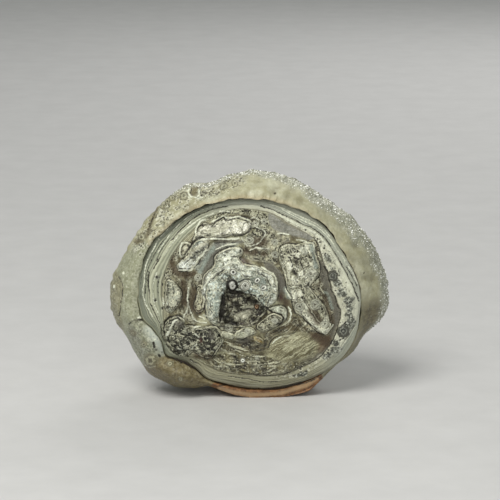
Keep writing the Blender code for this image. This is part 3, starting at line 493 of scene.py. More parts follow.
        (0.8, (-9.4, 7.7), (-7.2, 7.5)), (1.0, (-9.9, 19.6), (-10.3, 16.6)),
        (1.0, (-11.8, 21.0), (-11.5, 17.5)), (0.6, (-1.2, 25.0), (-0.2, 24.6)),
        (1.0, (12.2, 5.6), (13.4, 6.4)),
        (0.9, (-14.0, 26.0), (-13.8, 24.4), (-13.0, 23.0), (-11.6, 22.5), (-10.0, 22.9)),
    ),
    "cream": (
        (0.6, (-11.4, 25.7), (-9.9, 27.0), (-8.6, 27.9), (-7.6, 28.4)),
        (0.5, (-11.6, 27.4), (-11.4, 27.2)), (0.8, (-8.0, 30.4), (-6.0, 30.6), (-4.0, 31.2)),
        (0.9, (12.6, 7.5), (13.3, 7.7)), (1.0, (-2.2, 14.9), (-0.4, 15.5)),
        (0.5, (-0.6, 16.6), (0.3, 16.7)),
    ),
    "chain": (
        (0.9, (13.6, 25.9), (13.9, 25.2)), (0.5, (14.2, 24.0), (14.4, 23.6)),
        (1.2, (15.3, 21.2), (15.6, 20.9)), (1.5, (16.2, 19.4), (16.4, 19.2)),
        (1.2, (17.3, 17.7), (17.9, 17.9)), (1.0, (17.5, 16.5), (17.7, 16.3)),
        (0.9, (17.3, 15.3), (17.8, 15.0)), (1.5, (18.1, 14.1), (17.6, 13.1)),
        (1.0, (15.1, 10.1), (15.5, 9.8)), (1.2, (15.0, 8.8), (15.9, 8.9)),
        (0.8, (13.4, 7.3), (14.2, 7.9)), (0.8, (8.3, 4.0), (10.0, 4.4)),
        (0.5, (-16.7, 22.1), (-16.6, 22.0)), (0.5, (-16.8, 18.0), (-16.8, 17.8)),
    ),
    "rust": (
        (0.4, (-0.3, 18.2), (-0.1, 18.0)), (0.5, (-9.1, 15.9), (-8.9, 15.7)),
        (0.4, (-8.8, 10.9), (-8.7, 10.5)), (0.3, (-1.3, 25.1), (-1.2, 24.7)),
        (0.25, (-9.9, 16.8), (-9.6, 16.1)), (0.3, (5.4, 18.6), (5.5, 18.3)),
    ),
}

# Tones of the drawn lines and patches, and how far the edges of the soft ones fade, in millimetres
STROKE_TONES = {
    "grey": (122, 120, 112), "blue": (168, 178, 172), "cream": (214, 214, 198), "brown": (92, 78, 58),
    "rust": (78, 40, 24), "tan": (196, 166, 128), "olive": (106, 96, 68), "black": (44, 42, 37),
    "white": (226, 229, 210), "dark": (36, 32, 25),
}
SOFT_STROKES = {
    "grey": 0.5, "blue": 0.35, "cream": 0.35, "brown": 0.6, "rust": 0.25, "black": 0.45, "tan": 0.35,
    "olive": 0.4,
}

# Outlines of the zones outside the face, as (x, z)
RIM_OUTLINES = {
    "left_layer": (
        (-21.4, 27.2), (-18.6, 28.6), (-17.6, 26.3), (-19.0, 24.0), (-19.6, 21.5), (-20.0, 19.0),
        (-19.7, 17.0), (-18.8, 14.8), (-21.0, 13.2), (-22.6, 12.1), (-23.1, 14.6), (-23.3, 16.0),
        (-22.7, 18.8), (-22.7, 20.6), (-23.4, 22.2), (-23.6, 24.0),
    ),
    "outer_layer": (
        (-25.6, 24.5), (-24.0, 23.3), (-23.4, 22.2), (-22.7, 20.6), (-22.7, 18.8), (-23.3, 16.0),
        (-23.1, 14.6), (-22.6, 12.1), (-24.0, 11.0), (-26.0, 14.5), (-26.5, 19.0),
    ),
    "upper_lobe": (
        (-20.6, 14.2), (-19.3, 14.8), (-17.3, 13.4), (-15.7, 11.0), (-15.0, 8.4), (-16.0, 7.2),
        (-18.0, 5.6), (-20.4, 5.8), (-22.4, 9.5), (-22.2, 12.2),
    ),
    "lower_lobe": (
        (-17.2, 7.2), (-13.5, 8.0), (-11.7, 7.3), (-9.7, 6.0), (-8.0, 4.0), (-6.0, 2.9), (-7.0, 1.0),
        (-10.4, 0.6), (-13.1, 0.6), (-15.5, 1.4), (-18.6, 3.0), (-19.4, 5.4),
    ),
    "underlip": (
        (-6.6, 2.6), (-4.6, 2.6), (-1.2, 2.0), (2.9, 1.8), (7.3, 2.2), (11.0, 3.5), (12.9, 4.2),
        (12.6, 1.4), (7.3, -1.0), (2.9, -1.4), (-2.0, -1.0), (-6.6, 0.8),
    ),
    "right_end": (
        (19.9, 16.6), (22.0, 17.6), (25.6, 17.0), (25.6, 10.0), (21.0, 6.4), (17.0, 3.6), (13.6, 2.0),
        (12.6, 4.4), (14.8, 5.8), (17.0, 8.0), (18.4, 10.2), (19.3, 12.6),
    ),
}
RIM_ORBS = (
    Orb(-18.9, 9.9, 0.55), Orb(-17.8, 6.9, 1.3), Orb(-14.25, 6.3, 0.6), Orb(-12.3, 3.4, 0.45),
    Orb(-20.9, 11.9, 0.5), Orb(-11.7, 36.8, 0.8), Orb(-13.7, 36.4, 0.6), Orb(-14.6, 35.7, 0.5),
    Orb(-15.6, 34.9, 0.5), Orb(-4.6, 38.4, 0.8), Orb(-2.7, 39.0, 0.6), Orb(-6.7, 39.4, 0.6),
    Orb(-19.2, 29.4, 0.8),
)
RIM_STROKES = {
    "white": (
        (0.25, (-11.2, 36.7), (-10.3, 36.1)), (0.25, (-9.3, 36.2), (-8.5, 36.5)),
        (0.3, (-20.0, 14.7), (-19.3, 14.8)), (0.3, (-15.6, 11.0), (-15.4, 9.6), (-15.1, 8.2)),
        (0.2, (-18.8, 5.9), (-17.9, 5.6), (-16.8, 5.9)), (0.3, (-17.0, 10.7), (-16.9, 10.7)),
        (0.4, (-24.2, 20.5), (-24.2, 20.3)), (0.4, (-22.5, 22.9), (-22.5, 22.7)),
        (0.24, (-10.7, 38.5), (-10.95, 37.6), (-10.5, 36.7), (-9.7, 36.45), (-9.1, 36.9), (-9.0, 37.8)),
    ),
    "olive": (
        (0.8, (-10.0, 37.3), (-9.8, 38.1)),
        (0.5, (-16.6, 34.6), (-17.1, 33.2), (-17.6, 31.8), (-18.1, 30.2)),
        (1.5, (-17.9, 7.0), (-17.7, 6.8)), (1.0, (-20.9, 11.9), (-20.8, 11.8)),
        (0.9, (-20.2, 28.6), (-19.4, 28.8)), (0.6, (-18.4, 29.4), (-17.6, 30.6)),
    ),
    "dark": (
        (0.14, (-10.35, 38.2), (-10.5, 37.5), (-10.2, 37.0)), (0.3, (-8.7, 37.0), (-8.65, 37.0)),
        (0.3, (-14.8, 32.7), (-14.75, 32.7)), (0.3, (-6.8, 39.2), (-6.75, 39.2)),
        (0.3, (-5.6, 39.6), (-5.55, 39.6)), (0.35, (4.4, 37.3), (4.45, 37.3)),
        (0.3, (20.3, 22.8), (20.3, 22.85)),
        (0.14, (-16.6, 34.4), (-17.2, 33.0), (-17.6, 32.0), (-18.1, 30.8)),
        (0.14, (-18.6, 29.6), (-19.6, 28.8), (-20.6, 28.3)),
        (0.18, (-23.5, 22.2), (-22.7, 20.5), (-22.9, 18.2), (-23.4, 15.0)),
        (0.25, (-21.6, 13.6), (-20.3, 14.3), (-18.5, 14.2)), (0.35, (-12.3, 6.5), (-12.25, 6.5)),
        (0.2, (-5.6, 2.1), (-4.0, 2.35), (0.0, 2.05), (4.0, 1.85), (7.0, 2.15), (10.2, 2.65), (12.2, 3.8)),
        (0.2, (-20.7, 16.6), (-20.1, 16.5)), (0.35, (-16.3, 7.9), (-16.0, 7.7)),
        (0.45, (-17.15, 10.2), (-17.0, 9.3)), (0.35, (-18.9, 9.9), (-18.8, 9.5)),
        (0.3, (-16.8, 8.9), (-16.7, 8.8)),
    ),
    "tan": (
        # A pale tan line along the lip's lower edge: partly its own tan and partly a painted highlight where
        # the edge catches the light
        (0.55, (-5.5, 1.6), (-2.5, 0.9), (0.3, 0.45), (3.2, 0.5), (6.1, 0.9), (8.5, 1.6), (10.4, 2.4),
         (12.0, 3.4)),
    ),
}

# How softly a zone's edge fades, in millimetres, where it isn't the usual width of its piece
SOFT_ZONES = {"right_end": 3.5, "underlip": 0.3, "lower_lens": 1.6, "brown_patch": 1.0}
FACE_ZONE_EDGE, RIM_ZONE_EDGE = 0.35, 0.8

# Zones of the rim with little relief, the chain of discs (x, z, radius) where the hood is speckled,
# and the one where a highlight is painted on the upper lobe
SMOOTH_RIM = ("left_layer", "upper_lobe", "lower_lobe", "underlip", "right_end")
SPECKLED_HOOD = ((-19.5, 27.5, 1.4), (-17.2, 31.4, 1.6), (-14.0, 34.8, 1.9), (-10.0, 37.2, 1.6),
                 (-4.5, 38.8, 1.5), (-1.5, 39.6, 0.8))
LOBE_HIGHLIGHT = ((-18.0, 12.6, 0.5), (-17.0, 11.2, 0.7), (-15.6, 8.6, 0.3))

# What changes with the angle round the hub, as (degrees, value): where on the hood's section the
# crust starts, how strongly painted shade darkens the crevice and the face's edge beside it, and how tan the
# hood's lip is
CRUST_START = (
    (-180, 3.6), (-60, 3.6), (-35, 2.6), (-20, 1.6), (40, 1.0), (75, 1.6), (100, 2.4), (125, 3.0),
    (160, 3.6), (180, 3.6),
)
HOOD_CREVICE_SHADE = ((-180, 0.25), (-150, 0.3), (-135, 1), (140, 1), (165, 0.3), (180, 0.25))
FACE_CREVICE_SHADE = ((-180, 0.3), (-150, 0.35), (-130, 1), (140, 1), (160, 0.4), (180, 0.3))
TAN_LIP = ((-180, 0), (0, 0), (40, 0.15), (75, 0.5), (100, 0.55), (150, 0.4), (170, 0), (180, 0))

# How high the orbs and the lumps in some of the face's zones stand, in millimetres
ORB_HEIGHTS = {"eye": 0.30, "swirl": 0.14, "small_eye": 0.12, "dark": 0.16, "pale": 0.10, "rust": 0.16}
LUMP_HEIGHTS = {
    "cavity": 0.32, "cluster": 0.34, "top_speckle": 0.12, "bottom": 0.10, "swirl_zone": 0.08,
    "right_island": 0.08,
}

# How far the stone's grain bends its markings: (wavelength, most that it moves them)
WARPS = ((1.7, 0.10), (0.6, 0.07))


def ease(share):
    """Smooth step from 0 to 1."""
    share = np.clip(share, 0.0, 1.0)
    return share * share * (3.0 - 2.0 * share)


def cubic(p0, p1, p2, p3, share):
    """Point on a smooth curve from p1 to p2, between neighbours p0 and p3."""
    return 0.5 * (
        2 * p1
        + (p2 - p0) * share
        + (2 * p0 - 5 * p1 + 4 * p2 - p3) * share**2
        + (3 * p1 - p0 - 3 * p2 + p3) * share**3
    )


def radius_at(outline, angles):
    """Distance from the hub to a closed outline at each angle, on a smooth curve through its points."""
    points = np.array(outline) - (HUB_X, HUB_Z)
    turn = np.arctan2(points[:, 1], points[:, 0])
    order = np.argsort(turn)
    turn, reach = turn[order], np.hypot(points[:, 0], points[:, 1])[order]
    count = len(turn)
    slot = (np.searchsorted(turn, angles, side="right") - 1) % count
    ahead = (slot + 1) % count
    full = 2.0 * math.pi
    share = ((angles - turn[slot]) % full) / ((turn[ahead] - turn[slot]) % full)
    return cubic(reach[slot - 1], reach[slot], reach[ahead], reach[(slot + 2) % count], share)


def station_at(field, angles):
    """A station's value at each angle, easing from one station to the next."""
    turns = np.radians([station.angle for station in STATIONS] + [STATIONS[0].angle + 360])
    values = [getattr(station, field) for station in STATIONS]
    values = np.array(values + values[:1])
    slot = np.clip(np.searchsorted(turns, angles, side="right") - 1, 0, len(STATIONS) - 1)
    share = ease((angles - turns[slot]) / (turns[slot + 1] - turns[slot]))
    return values[slot] * (1 - share) + values[slot + 1] * share


def waves(rows, angles):
    """Sum of waves that run round the stone."""
    return sum(size * np.sin(count * angles + turn) for count, size, turn in rows)


def face_points(face, edge, gap):
    """The gently domed face, from its middle to the mouth of the crevice round it."""
    points = []
    for step in range(FACE_STEPS):
        share = step / FACE_STEPS
        points.append((face * share, FACE_MIDDLE_Y + (edge - FACE_MIDDLE_Y) * share**3, 5))
    points.append((face - FACE_TURN, edge - 0.03, 1))
    points.append((face - 0.08, edge + CREVICE_MOUTH * gap, 2))
    return points


def hood_points(face, rim, angles):
    """The bottom of the crevice, the hood over it and the rim that turns to the back."""
    edge, gap, tuck, lip, brow, rim_y, foot = (station_at(f, angles) for f in Station._fields[1:])
    hood = rim - face
    start = np.minimum(0.3, 0.25 * hood)
    fold = (waves(SIDE_FOLD, angles) - 0.02) * (1 - foot)
    scallop = waves(LIP_WAVES, angles) * ease((np.sin(angles) + 0.5) / 0.5)
    return [
        (face + tuck, edge + gap, 2),
        (face + 0.4 * tuck + 0.05 + scallop, lip + 0.45, 2),
        (face + start + scallop, lip, 3),
        (face + HOOD_BROW * hood, brow, 3),
        (face + HOOD_SHOULDER * hood, (brow + rim_y) / 2, 3),
        (rim, rim_y, 4),
        (rim * (0.98 + fold + 0.06 * foot), rim_y * 0.4, 4),
    ]


def petal_points(rim, angles):
    """The rolled back of the hood and the rings of petals inside it, to the middle of the back."""
    foot = station_at("foot", angles)
    points = [
        (0.965 + 0.065 * foot, 1.2 + 0.8 * foot, 5),
        (0.895 + 0.060 * foot, 3.1 + 0.8 * foot, 4),
    ]
    for number, petal in enumerate(PETALS):
        bent = angles + petal.uneven * np.sin(angles + 2 * petal.turn)
        lobes = np.abs(np.cos(petal.lobes * bent / 2 + petal.turn)) ** 0.6
        side = petal.right * np.cos(angles) + petal.up * np.sin(angles)
        crevice = petal.radius * (1 - petal.wave + 2 * petal.wave * lobes) + side
        inner = PETALS[number + 1].radius if number + 1 < len(PETALS) else 0.0
        width = petal.radius - inner
        rise = petal.rise * (0.8 + 0.2 * lobes) + petal.lean * side / math.hypot(petal.right, petal.up)
        points += [
            (crevice + 0.05, petal.y + 0.5, 3),
            (crevice, petal.y - 0.4, 3),
            (crevice + PETAL_OVERHANG, petal.y + 0.4 * rise, 3),
        ]
        points += [
            (crevice - across * width, petal.y + up * rise, rings) for across, up, rings in PETAL_SECTION
        ]
    points.append((0.0, PETALS[-1].y + PETALS[-1].rise + 0.4, 0))
    fold = waves(BACK_FOLDS, angles)
    return [(rim * share, y + fold * share, rings) for share, y, rings in points]


def ring_places(parts, counts):
    """Where each ring falls along the section's points, with each part's rings shared by weight."""
    places, start = [], 0
    for part, count in zip(parts, counts):
        weights = np.cumsum([0.0] + [point[2] for point in part])
        along = np.interp(np.arange(count) / count * weights[-1], weights, np.arange(len(weights)))
        places.extend(start + along)
        start += len(part)
    return np.array(places + [start - 1])


def stroke_distance(x, z, stroke):
    """Signed distance to a chain of discs joined by straight flanks: negative inside."""
    found = np.full(x.shape, np.inf)
    for (ax, az, ar), (bx, bz, br) in zip(stroke, stroke[1:]):
        dx, dz = bx - ax, bz - az
        share = np.clip(((x - ax) * dx + (z - az) * dz) / (dx * dx + dz * dz), 0.0, 1.0)
        gap = np.hypot(x - ax - share * dx, z - az - share * dz) - (ar + share * (br - ar))
        found = np.minimum(found, gap)
    return found


def forms_height(x, z, forms):
    """Height of raised and sunken forms at points of the front."""
    height = np.zeros(x.shape)
    for form in forms:
        height += form.height * ease(0.5 - stroke_distance(x, z, form.stroke) / form.edge)
    return height


def smooth_loop(points, cuts=5):
    """A closed outline as many short steps of a smooth curve through its points."""
    p1 = np.array(points)[:, None]
    share = (np.arange(cuts) / cuts)[None, :, None]
    p0, p2, p3 = (np.roll(p1, turn, axis=0) for turn in (1, -1, -2))
    return cubic(p0, p1, p2, p3, share).reshape(-1, 2)


def path_distance(x, z, path, far):
    """Distance to a chain of steps at points, at most far, and which points were near enough to look at."""
    low, high = path.min(axis=0) - far, path.max(axis=0) + far
    near = (x > low[0]) & (x < high[0]) & (z > low[1]) & (z < high[1])
    px, pz = x[near], z[near]
    best = np.full(px.shape, far * far)
    for (ax, az), (bx, bz) in zip(path, path[1:]):
        dx, dz = bx - ax, bz - az
        share = np.clip(((px - ax) * dx + (pz - az) * dz) / (dx * dx + dz * dz), 0.0, 1.0)
        best = np.minimum(best, (px - ax - share * dx) ** 2 + (pz - az - share * dz) ** 2)
    return np.sqrt(best), near


def loop_distance(x, z, points, far=4.0):
    """Signed distance to a closed outline: negative inside, and never more than far."""
    loop = smooth_loop(points)
    loop = np.vstack([loop, loop[:1]])
    found = np.full(x.shape, far)
    best, near = path_distance(x, z, loop, far)
    px, pz = x[near], z[near]
    inside = np.zeros(px.shape, bool)
    for (ax, az), (bx, bz) in zip(loop, loop[1:]):
        if az == bz:
            continue
        crossed = (az > pz) != (bz > pz)
        inside ^= crossed & (px < ax + (pz - az) * (bx - ax) / (bz - az))
    found[near] = best * np.where(inside, -1, 1)
    return found


def line_distance(x, z, points, far=1.5, cuts=4):
    """Distance to an open line through these points, smooth where it has more than two."""
    path = np.array(points, float)
    if len(path) > 2:
        p1 = path[:-1, None]
        p2, p3 = path[1:, None], np.vstack([path[2:], path[-1:]])[:, None]
        p0 = np.vstack([path[:1], path[:-2]])[:, None]
        share = (np.arange(cuts) / cuts)[None, :, None]
        path = np.vstack([cubic(p0, p1, p2, p3, share).reshape(-1, 2), path[-1:]])
    found = np.full(x.shape, far)
    best, near = path_distance(x, z, path, far)
    found[near] = best
    return found


def noise_at(points, length, shift=0.0):
    """Smooth noise from about -1 to 1 whose lumps are about length millimetres apart."""
    return np.array([noise.noise(Vector(point)) for point in points / length + shift])


def cells_at(points, length, shift=0.0):
    """Distance to the nearest of scattered points about length millimetres apart, as a share of it,
    and a number from 0 to 1 that is each one's own."""
    nearest = [noise.voronoi(Vector(point)) for point in points / length + shift]
    middles = np.array([tuple(found[1][0]) for found in nearest])
    return np.array([found[0][0] for found in nearest]), (middles @ (12.99, 78.23, 37.72)) % 1.0


def drawn_places(points, shift):
    """Where points show on the drawing's plane, moved a little by the stone's own unevenness."""
    x = points[:, 0].copy()
    z = points[:, 2] + DRAWN_SLOPE * (points[:, 1] - DRAWN_PLANE_Y)
    for length, size in WARPS:
        x += size * noise_at(points, length, shift)
        z += size * noise_at(points, length, shift + 17.0)
    return x, z


def nearest_orb(x, z, orbs):
    """Distance from the nearest orb's middle, as a share of that orb's radius."""
    found = np.full(x.shape, 3.0)
    for orb in orbs:
        found = np.minimum(found, np.hypot(x - orb.x, z - orb.z) / orb.radius)
    return found


def square_grid():
    """Ring and angle of each point of a square grid whose rings become rings round the hub."""
    steps = np.arange(-GRID_RINGS, GRID_RINGS + 1)
    up, across = (axis.ravel().astype(float) for axis in np.meshgrid(steps, steps, indexing="ij"))
    ring = np.maximum(abs(across), abs(up))
    wide = abs(across) >= abs(up)
    along = np.divide(up, across, out=np.zeros_like(up), where=wide & (ring > 0))
    aside = np.divide(across, up, out=np.zeros_like(up), where=~wide)
    angle = np.where(wide, math.pi / 4 * along, math.pi / 2 - math.pi / 4 * aside)
    angle += math.pi * np.where(wide, across < 0, up < 0)
    return ring.astype(int), np.where(angle > math.pi, angle - 2 * math.pi, angle)


def grid_cells():
    """The four corners of each cell of the square grid, anticlockwise as seen from the front."""
    across = 2 * GRID_RINGS + 1
    first = (np.arange(across - 1)[:, None] * across + np.arange(across - 1)).ravel()
    return np.column_stack([first, first + 1, first + across + 1, first + across])


class Stone:
    """All points of the stone, each with its place along the section, and its pieces' cells."""

    def __init__(self):
        ring, angle = square_grid()
        border = np.flatnonzero(ring == GRID_RINGS)
        border = border[np.argsort(angle[border])]
        inner = ring < GRID_RINGS
        strip = len(ring) + np.arange(HOOD_RINGS * len(border)).reshape(HOOD_RINGS, -1)
        rows = np.vstack([border, strip])
        back = np.empty(len(ring), int)
        back[border] = rows[-1]
        back[inner] = rows[-1, -1] + 1 + np.arange(inner.sum())
        ahead = np.roll(rows, -1, axis=1)
        hood = np.stack([rows[:-1], rows[1:], ahead[1:], ahead[:-1]], axis=-1).reshape(-1, 4)
        cells = grid_cells()
        self.cells = {"rose_face": cells, "rose_hood": hood, "rose_back": back[cells[:, ::-1]]}
        self.angles = np.concatenate([angle, np.tile(angle[border], HOOD_RINGS), angle[inner]])
        hood_level = GRID_RINGS + 1 + np.repeat(np.arange(HOOD_RINGS), len(border))
        level = np.concatenate([ring, hood_level, 2 * GRID_RINGS + HOOD_RINGS - ring[inner]])
        self.place(level)
        self.face_count = len(ring)

    def place(self, level):
        """Places each point by the section at its angle, with the raised and sunken forms."""
        angles = self.angles
        face, rim = radius_at(FACE_EDGE, angles), radius_at(SILHOUETTE, angles)
        parts = (
            face_points(face, station_at("edge", angles), station_at("gap", angles)),
            hood_points(face, rim, angles),
            petal_points(rim, angles),
        )
        places = ring_places(parts, (GRID_RINGS, HOOD_RINGS, GRID_RINGS))[level]
        path = np.array([np.broadcast_arrays(radius, y) for part in parts for radius, y, _ in part])
        last = len(path) - 1
        slot = np.minimum(places.astype(int), last - 1)
        each = np.arange(len(level))
        beside = (path[np.clip(slot + step, 0, last), :, each] for step in (-1, 0, 1, 2))
        reach, y = cubic(*beside, (places - slot)[:, None]).T
        x, z = HUB_X + reach * np.cos(angles), HUB_Z + reach * np.sin(angles)
        inside = ease((face - reach - 0.3) / 1.2)
        seen = z + VIEW_SLOPE * (y - VIEW_PLANE_Y)
        relief = forms_height(x, seen, FACE_FORMS) * inside
        relief += forms_height(x, seen, HOOD_FORMS) * (1 - inside)
        relief *= ease((FORMS_END - places) / 2.0)
        self.section = places
        self.points = np.column_stack([x, y - relief, z])

    def normals(self):
        """Outward directions at all points."""
        total = np.zeros_like(self.points)
        for cells in self.cells.values():
            corner = self.points[cells]
            facing = np.cross(corner[:, 2] - corner[:, 0], corner[:, 3] - corner[:, 1])
            for side in range(4):
                np.add.at(total, cells[:, side], facing)
        return total / np.maximum(np.linalg.norm(total, axis=1, keepdims=True), 1e-9)

    def lift(self, height):
        """Moves all points out along their normals."""
        self.points += self.normals() * height[:, None]

    def fit_to_size(self):
        """Scales the stone to the CAD solid's box, with the plane of its flat spot at height 0."""
        low, high = self.points.min(axis=0), self.points.max(axis=0)
        low[2] = REST_CUT_Z
        self.points = (self.points - low) * (HIGH - LOW) / (high - low) + LOW


class Region:
    """Some of the stone's points, with the fields that their material reads."""

    def __init__(self, stone, index, shift):
        self.index, self.fields = index, {}
        self.points = stone.points[index]
        self.section, self.angles = stone.section[index], stone.angles[index]
        self.x, self.z = drawn_places(self.points, shift)
        self.row = np.full(len(stone.points), -1)
        self.row[index] = np.arange(len(index))

    def stroke_field(self, strokes):
        """Distance from the edge of the nearest drawn stroke, negative inside it."""
        found = np.full(self.x.shape, 1.5)
        for width, *points in strokes:
            found = np.minimum(found, line_distance(self.x, self.z, points) - width / 2)
        return found


def by_angle(rows, angles):
    """Value at each angle, from (degrees, value) pairs."""
    degrees, values = zip(*rows)
    return np.interp(np.degrees(angles), degrees, values)


def drawn_fields(face):
    """How much of each zone covers each point, and the distances to the drawn outlines and lines."""
    fields = face.fields
    reach = {name: loop_distance(face.x, face.z, points) for name, points in OUTLINES.items()}
    for name, distance in reach.items():
        fields["in_" + name] = ease(0.5 - distance / SOFT_ZONES.get(name, FACE_ZONE_EDGE))
    fields["islands"] = np.min([reach[name] for name in ISLANDS], axis=0)
    fields["nested"] = np.min([reach[name] for name in NESTED], axis=0)
    for kind, strokes in STROKES.items():
        fields["stroke_" + kind] = face.stroke_field(strokes)


def band_fields(face):
    """Where the bands round the face lie: a share from the face's edge (0) to its dark line (1) and
    the core's edge (2), then on by millimetres, and the distance inwards from the face's edge."""
    fields = face.fields
    angle, reach = np.arctan2(face.z - HUB_Z, face.x - HUB_X), np.hypot(face.x - HUB_X, face.z - HUB_Z)
    edge = radius_at([(x, z - EDGE_DROP) for x, z in FACE_EDGE], angle)
    line = np.minimum(radius_at(FACE_LINE, angle), edge - 0.3)
    core = np.minimum(radius_at(CORE_EDGE, angle), line - 0.25)
    outer = (edge - reach) / (edge - line)
    middle = 1 + (line - reach) / (line - core)
    fields["band"] = np.where(reach > line, outer, np.where(reach > core, middle, 2 + core - reach))
    fields["edge_in"] = edge - reach
    # Painted shade: how strongly the face's edge beside the crevice is darkened, by angle
    fields["crevice_shade"] = by_angle(FACE_CREVICE_SHADE, angle)
    fields["flow"] = reach + 0.55 * noise_at(face.points, 2.7, 40.0)
    fields["on_left"] = ease((-np.cos(angle) - 0.1) / 0.5)
    fields["on_right"] = ease((np.cos(angle) - 0.15) / 0.35)
    fields["on_low"] = ease((-np.sin(angle) - 0.55) / 0.3)


def orb_fields(face):
    """Distance from the nearest orb of each kind, as a share of its radius."""
    for kind, orbs in ORBS.items():
        face.fields["orb_" + kind] = nearest_orb(face.x, face.z, orbs)


def hood_fields(rim):
    """Where the hood's zones, lines, orbs and speckles lie, and where its crust starts."""
    fields, section, x, z = rim.fields, rim.section, rim.x, rim.z
    front = ease((FIRST_PETAL_POINT - section) / 2)
    for name, outline in RIM_OUTLINES.items():
        edge = SOFT_ZONES.get(name, RIM_ZONE_EDGE)
        fields["in_" + name] = ease(0.5 - loop_distance(x, z, outline) / edge) * front
    for kind, strokes in RIM_STROKES.items():
        fields["stroke_" + kind] = np.where(section < FORMS_END + 0.7, rim.stroke_field(strokes), 1.5)
    fields["orb_rim"] = np.where(section < FORMS_END, nearest_orb(x, z, RIM_ORBS), 3.0)
    hood = section - LIP_POINT
    fields["hood"] = np.clip(hood, -3, 8)
    fields["speckled"] = ease(0.5 - stroke_distance(x, z, SPECKLED_HOOD) / 1.6) * ease((5.5 - hood) / 1.5)
    # Painted highlight: where the upper lobe is lightened to a pale bluish white
    fields["glow"] = ease(0.5 - stroke_distance(x, z, LOBE_HIGHLIGHT) / 2.2)
    # Painted shade at the bottom of the crevice between the face and the hood, by angle
    fields["gap"] = ease(1 - abs(hood + 1.6) / 1.5) * by_angle(HOOD_CREVICE_SHADE, rim.angles)
    fields["tan_lip"] = by_angle(TAN_LIP, rim.angles)
    patchy = 0.35 * noise_at(rim.points, 3.1, 12.0)
    fields["druzy"] = ease((hood + patchy - by_angle(CRUST_START, rim.angles)) / 0.9)


def back_fields(rim):
    """Where the petals' crevices, layers and rolled edges lie. Those edges are mostly bare of crust."""
    fields, section = rim.fields, rim.section
    starts = [FIRST_PETAL_POINT + number * POINTS_PER_PETAL for number in range(len(PETALS))]
    crevices = [ease(1 - abs(section - start - 1) / 1.3) for start in starts]
    edges = [ease(1 - abs(section - start - 2.2) / 1.5) for start in starts]
    edges.append(ease(1 - abs(section - FIRST_PETAL_POINT + 0.7) / 1.3))
    edge = np.max(edges, axis=0) * ease(0.8 + 1.2 * noise_at(rim.points, 4.5, 61.0))
    behind = ease((section - SILHOUETTE_POINT - 0.5) / 2.5)
    fields["crevice"], fields["petal_edge"], fields["behind"] = np.max(crevices, axis=0), edge, behind
    fields["layer"] = section + 0.35 * noise_at(rim.points, 3.0, 71.0)
    fields["druzy"] *= 1 - 0.9 * edge * behind


def lump_fields(face):
    """Where lumps and pits stand on the face, and each lump's own tone."""
    fields = face.fields
    near, own = cells_at(face.points, 1.0, 2.0)
    fields["lump"], fields["lump_own"] = ease(1.15 - near / 0.6), own
    near, own = cells_at(face.points, 0.62, 8.0)
    shown = ease((own - 0.35) / 0.15)
    fields["pit"] = ease(1.2 - near / 0.30) * shown
    fields["pit_rim"] = ease(1 - abs(near - 0.42) / 0.16) * shown


def face_relief(face):
    """Height of the fine forms over the face, in millimetres."""
    fields, points = face.fields, face.points
    lump_fields(face)
    height = 0.04 * noise_at(points, 1.1, 3.0) + 0.025 * noise_at(points, 0.5, 5.0)
    height += 0.15 * ease(0.5 - (fields["islands"] + 0.12) / 0.35)
    height -= 0.10 * ease(1 - abs(fields["islands"] - 0.05) / 0.20)
    height += 0.09 * ease(0.5 - fields["nested"] / 0.25) * (1 - fields["in_cavity"])
    height -= 0.30 * fields["in_cavity"]
    for name, size in LUMP_HEIGHTS.items():
        height += size * fields["lump"] * fields["in_" + name]
    height += 0.03 * np.sin(fields["band"] * 4 * math.pi) * ease((2.2 - fields["band"]) / 0.4)
    height += 0.09 * ease(0.5 - fields["stroke_white"] / 0.16)
    height -= 0.12 * ease(0.5 - fields["stroke_dark"] / 0.16)
    height -= 0.25 * ease(0.5 - fields["stroke_black"] / 0.35)
    for kind, size in ORB_HEIGHTS.items():
        orb = fields["orb_" + kind]
        height += size * (ease(1.5 - orb * 1.2) - 0.7 * ease(1 - orb * 2.6))
    fields["raised"] = height
    return height * ease((LIP_POINT - 3.2 - face.section) / 0.5)


def hood_relief(rim, hood):
    """Height of the ribs along the hood's lip, its folds and the knuckles at its upper left."""
    points, angles = rim.points, rim.angles
    degrees = np.degrees(angles)
    upper = ease((degrees - 55) / 20) * ease((172 - degrees) / 20)
    ribs = np.maximum(0, np.sin(angles * 78 + 2.5 * noise_at(points, 4.0, 7.0)))
    height = 0.14 * ribs * ease(1 - abs(hood - 0.25) / 0.75) * upper
    folds = np.sin(angles * 34 + 2.2 * hood + 2.0 * noise_at(points, 6.0, 27.0))
    height += 0.10 * folds * ease(hood / 0.8) * ease((degrees + 20) / 30) * ease((120 - degrees) / 20)
    near, _ = cells_at(points, 0.9, 44.0)
    knuckles = ease(1.1 - near) * ease(1 - abs(hood - 0.55) / 0.9)
    return height + 0.22 * knuckles * ease((degrees - 95) / 20) * upper


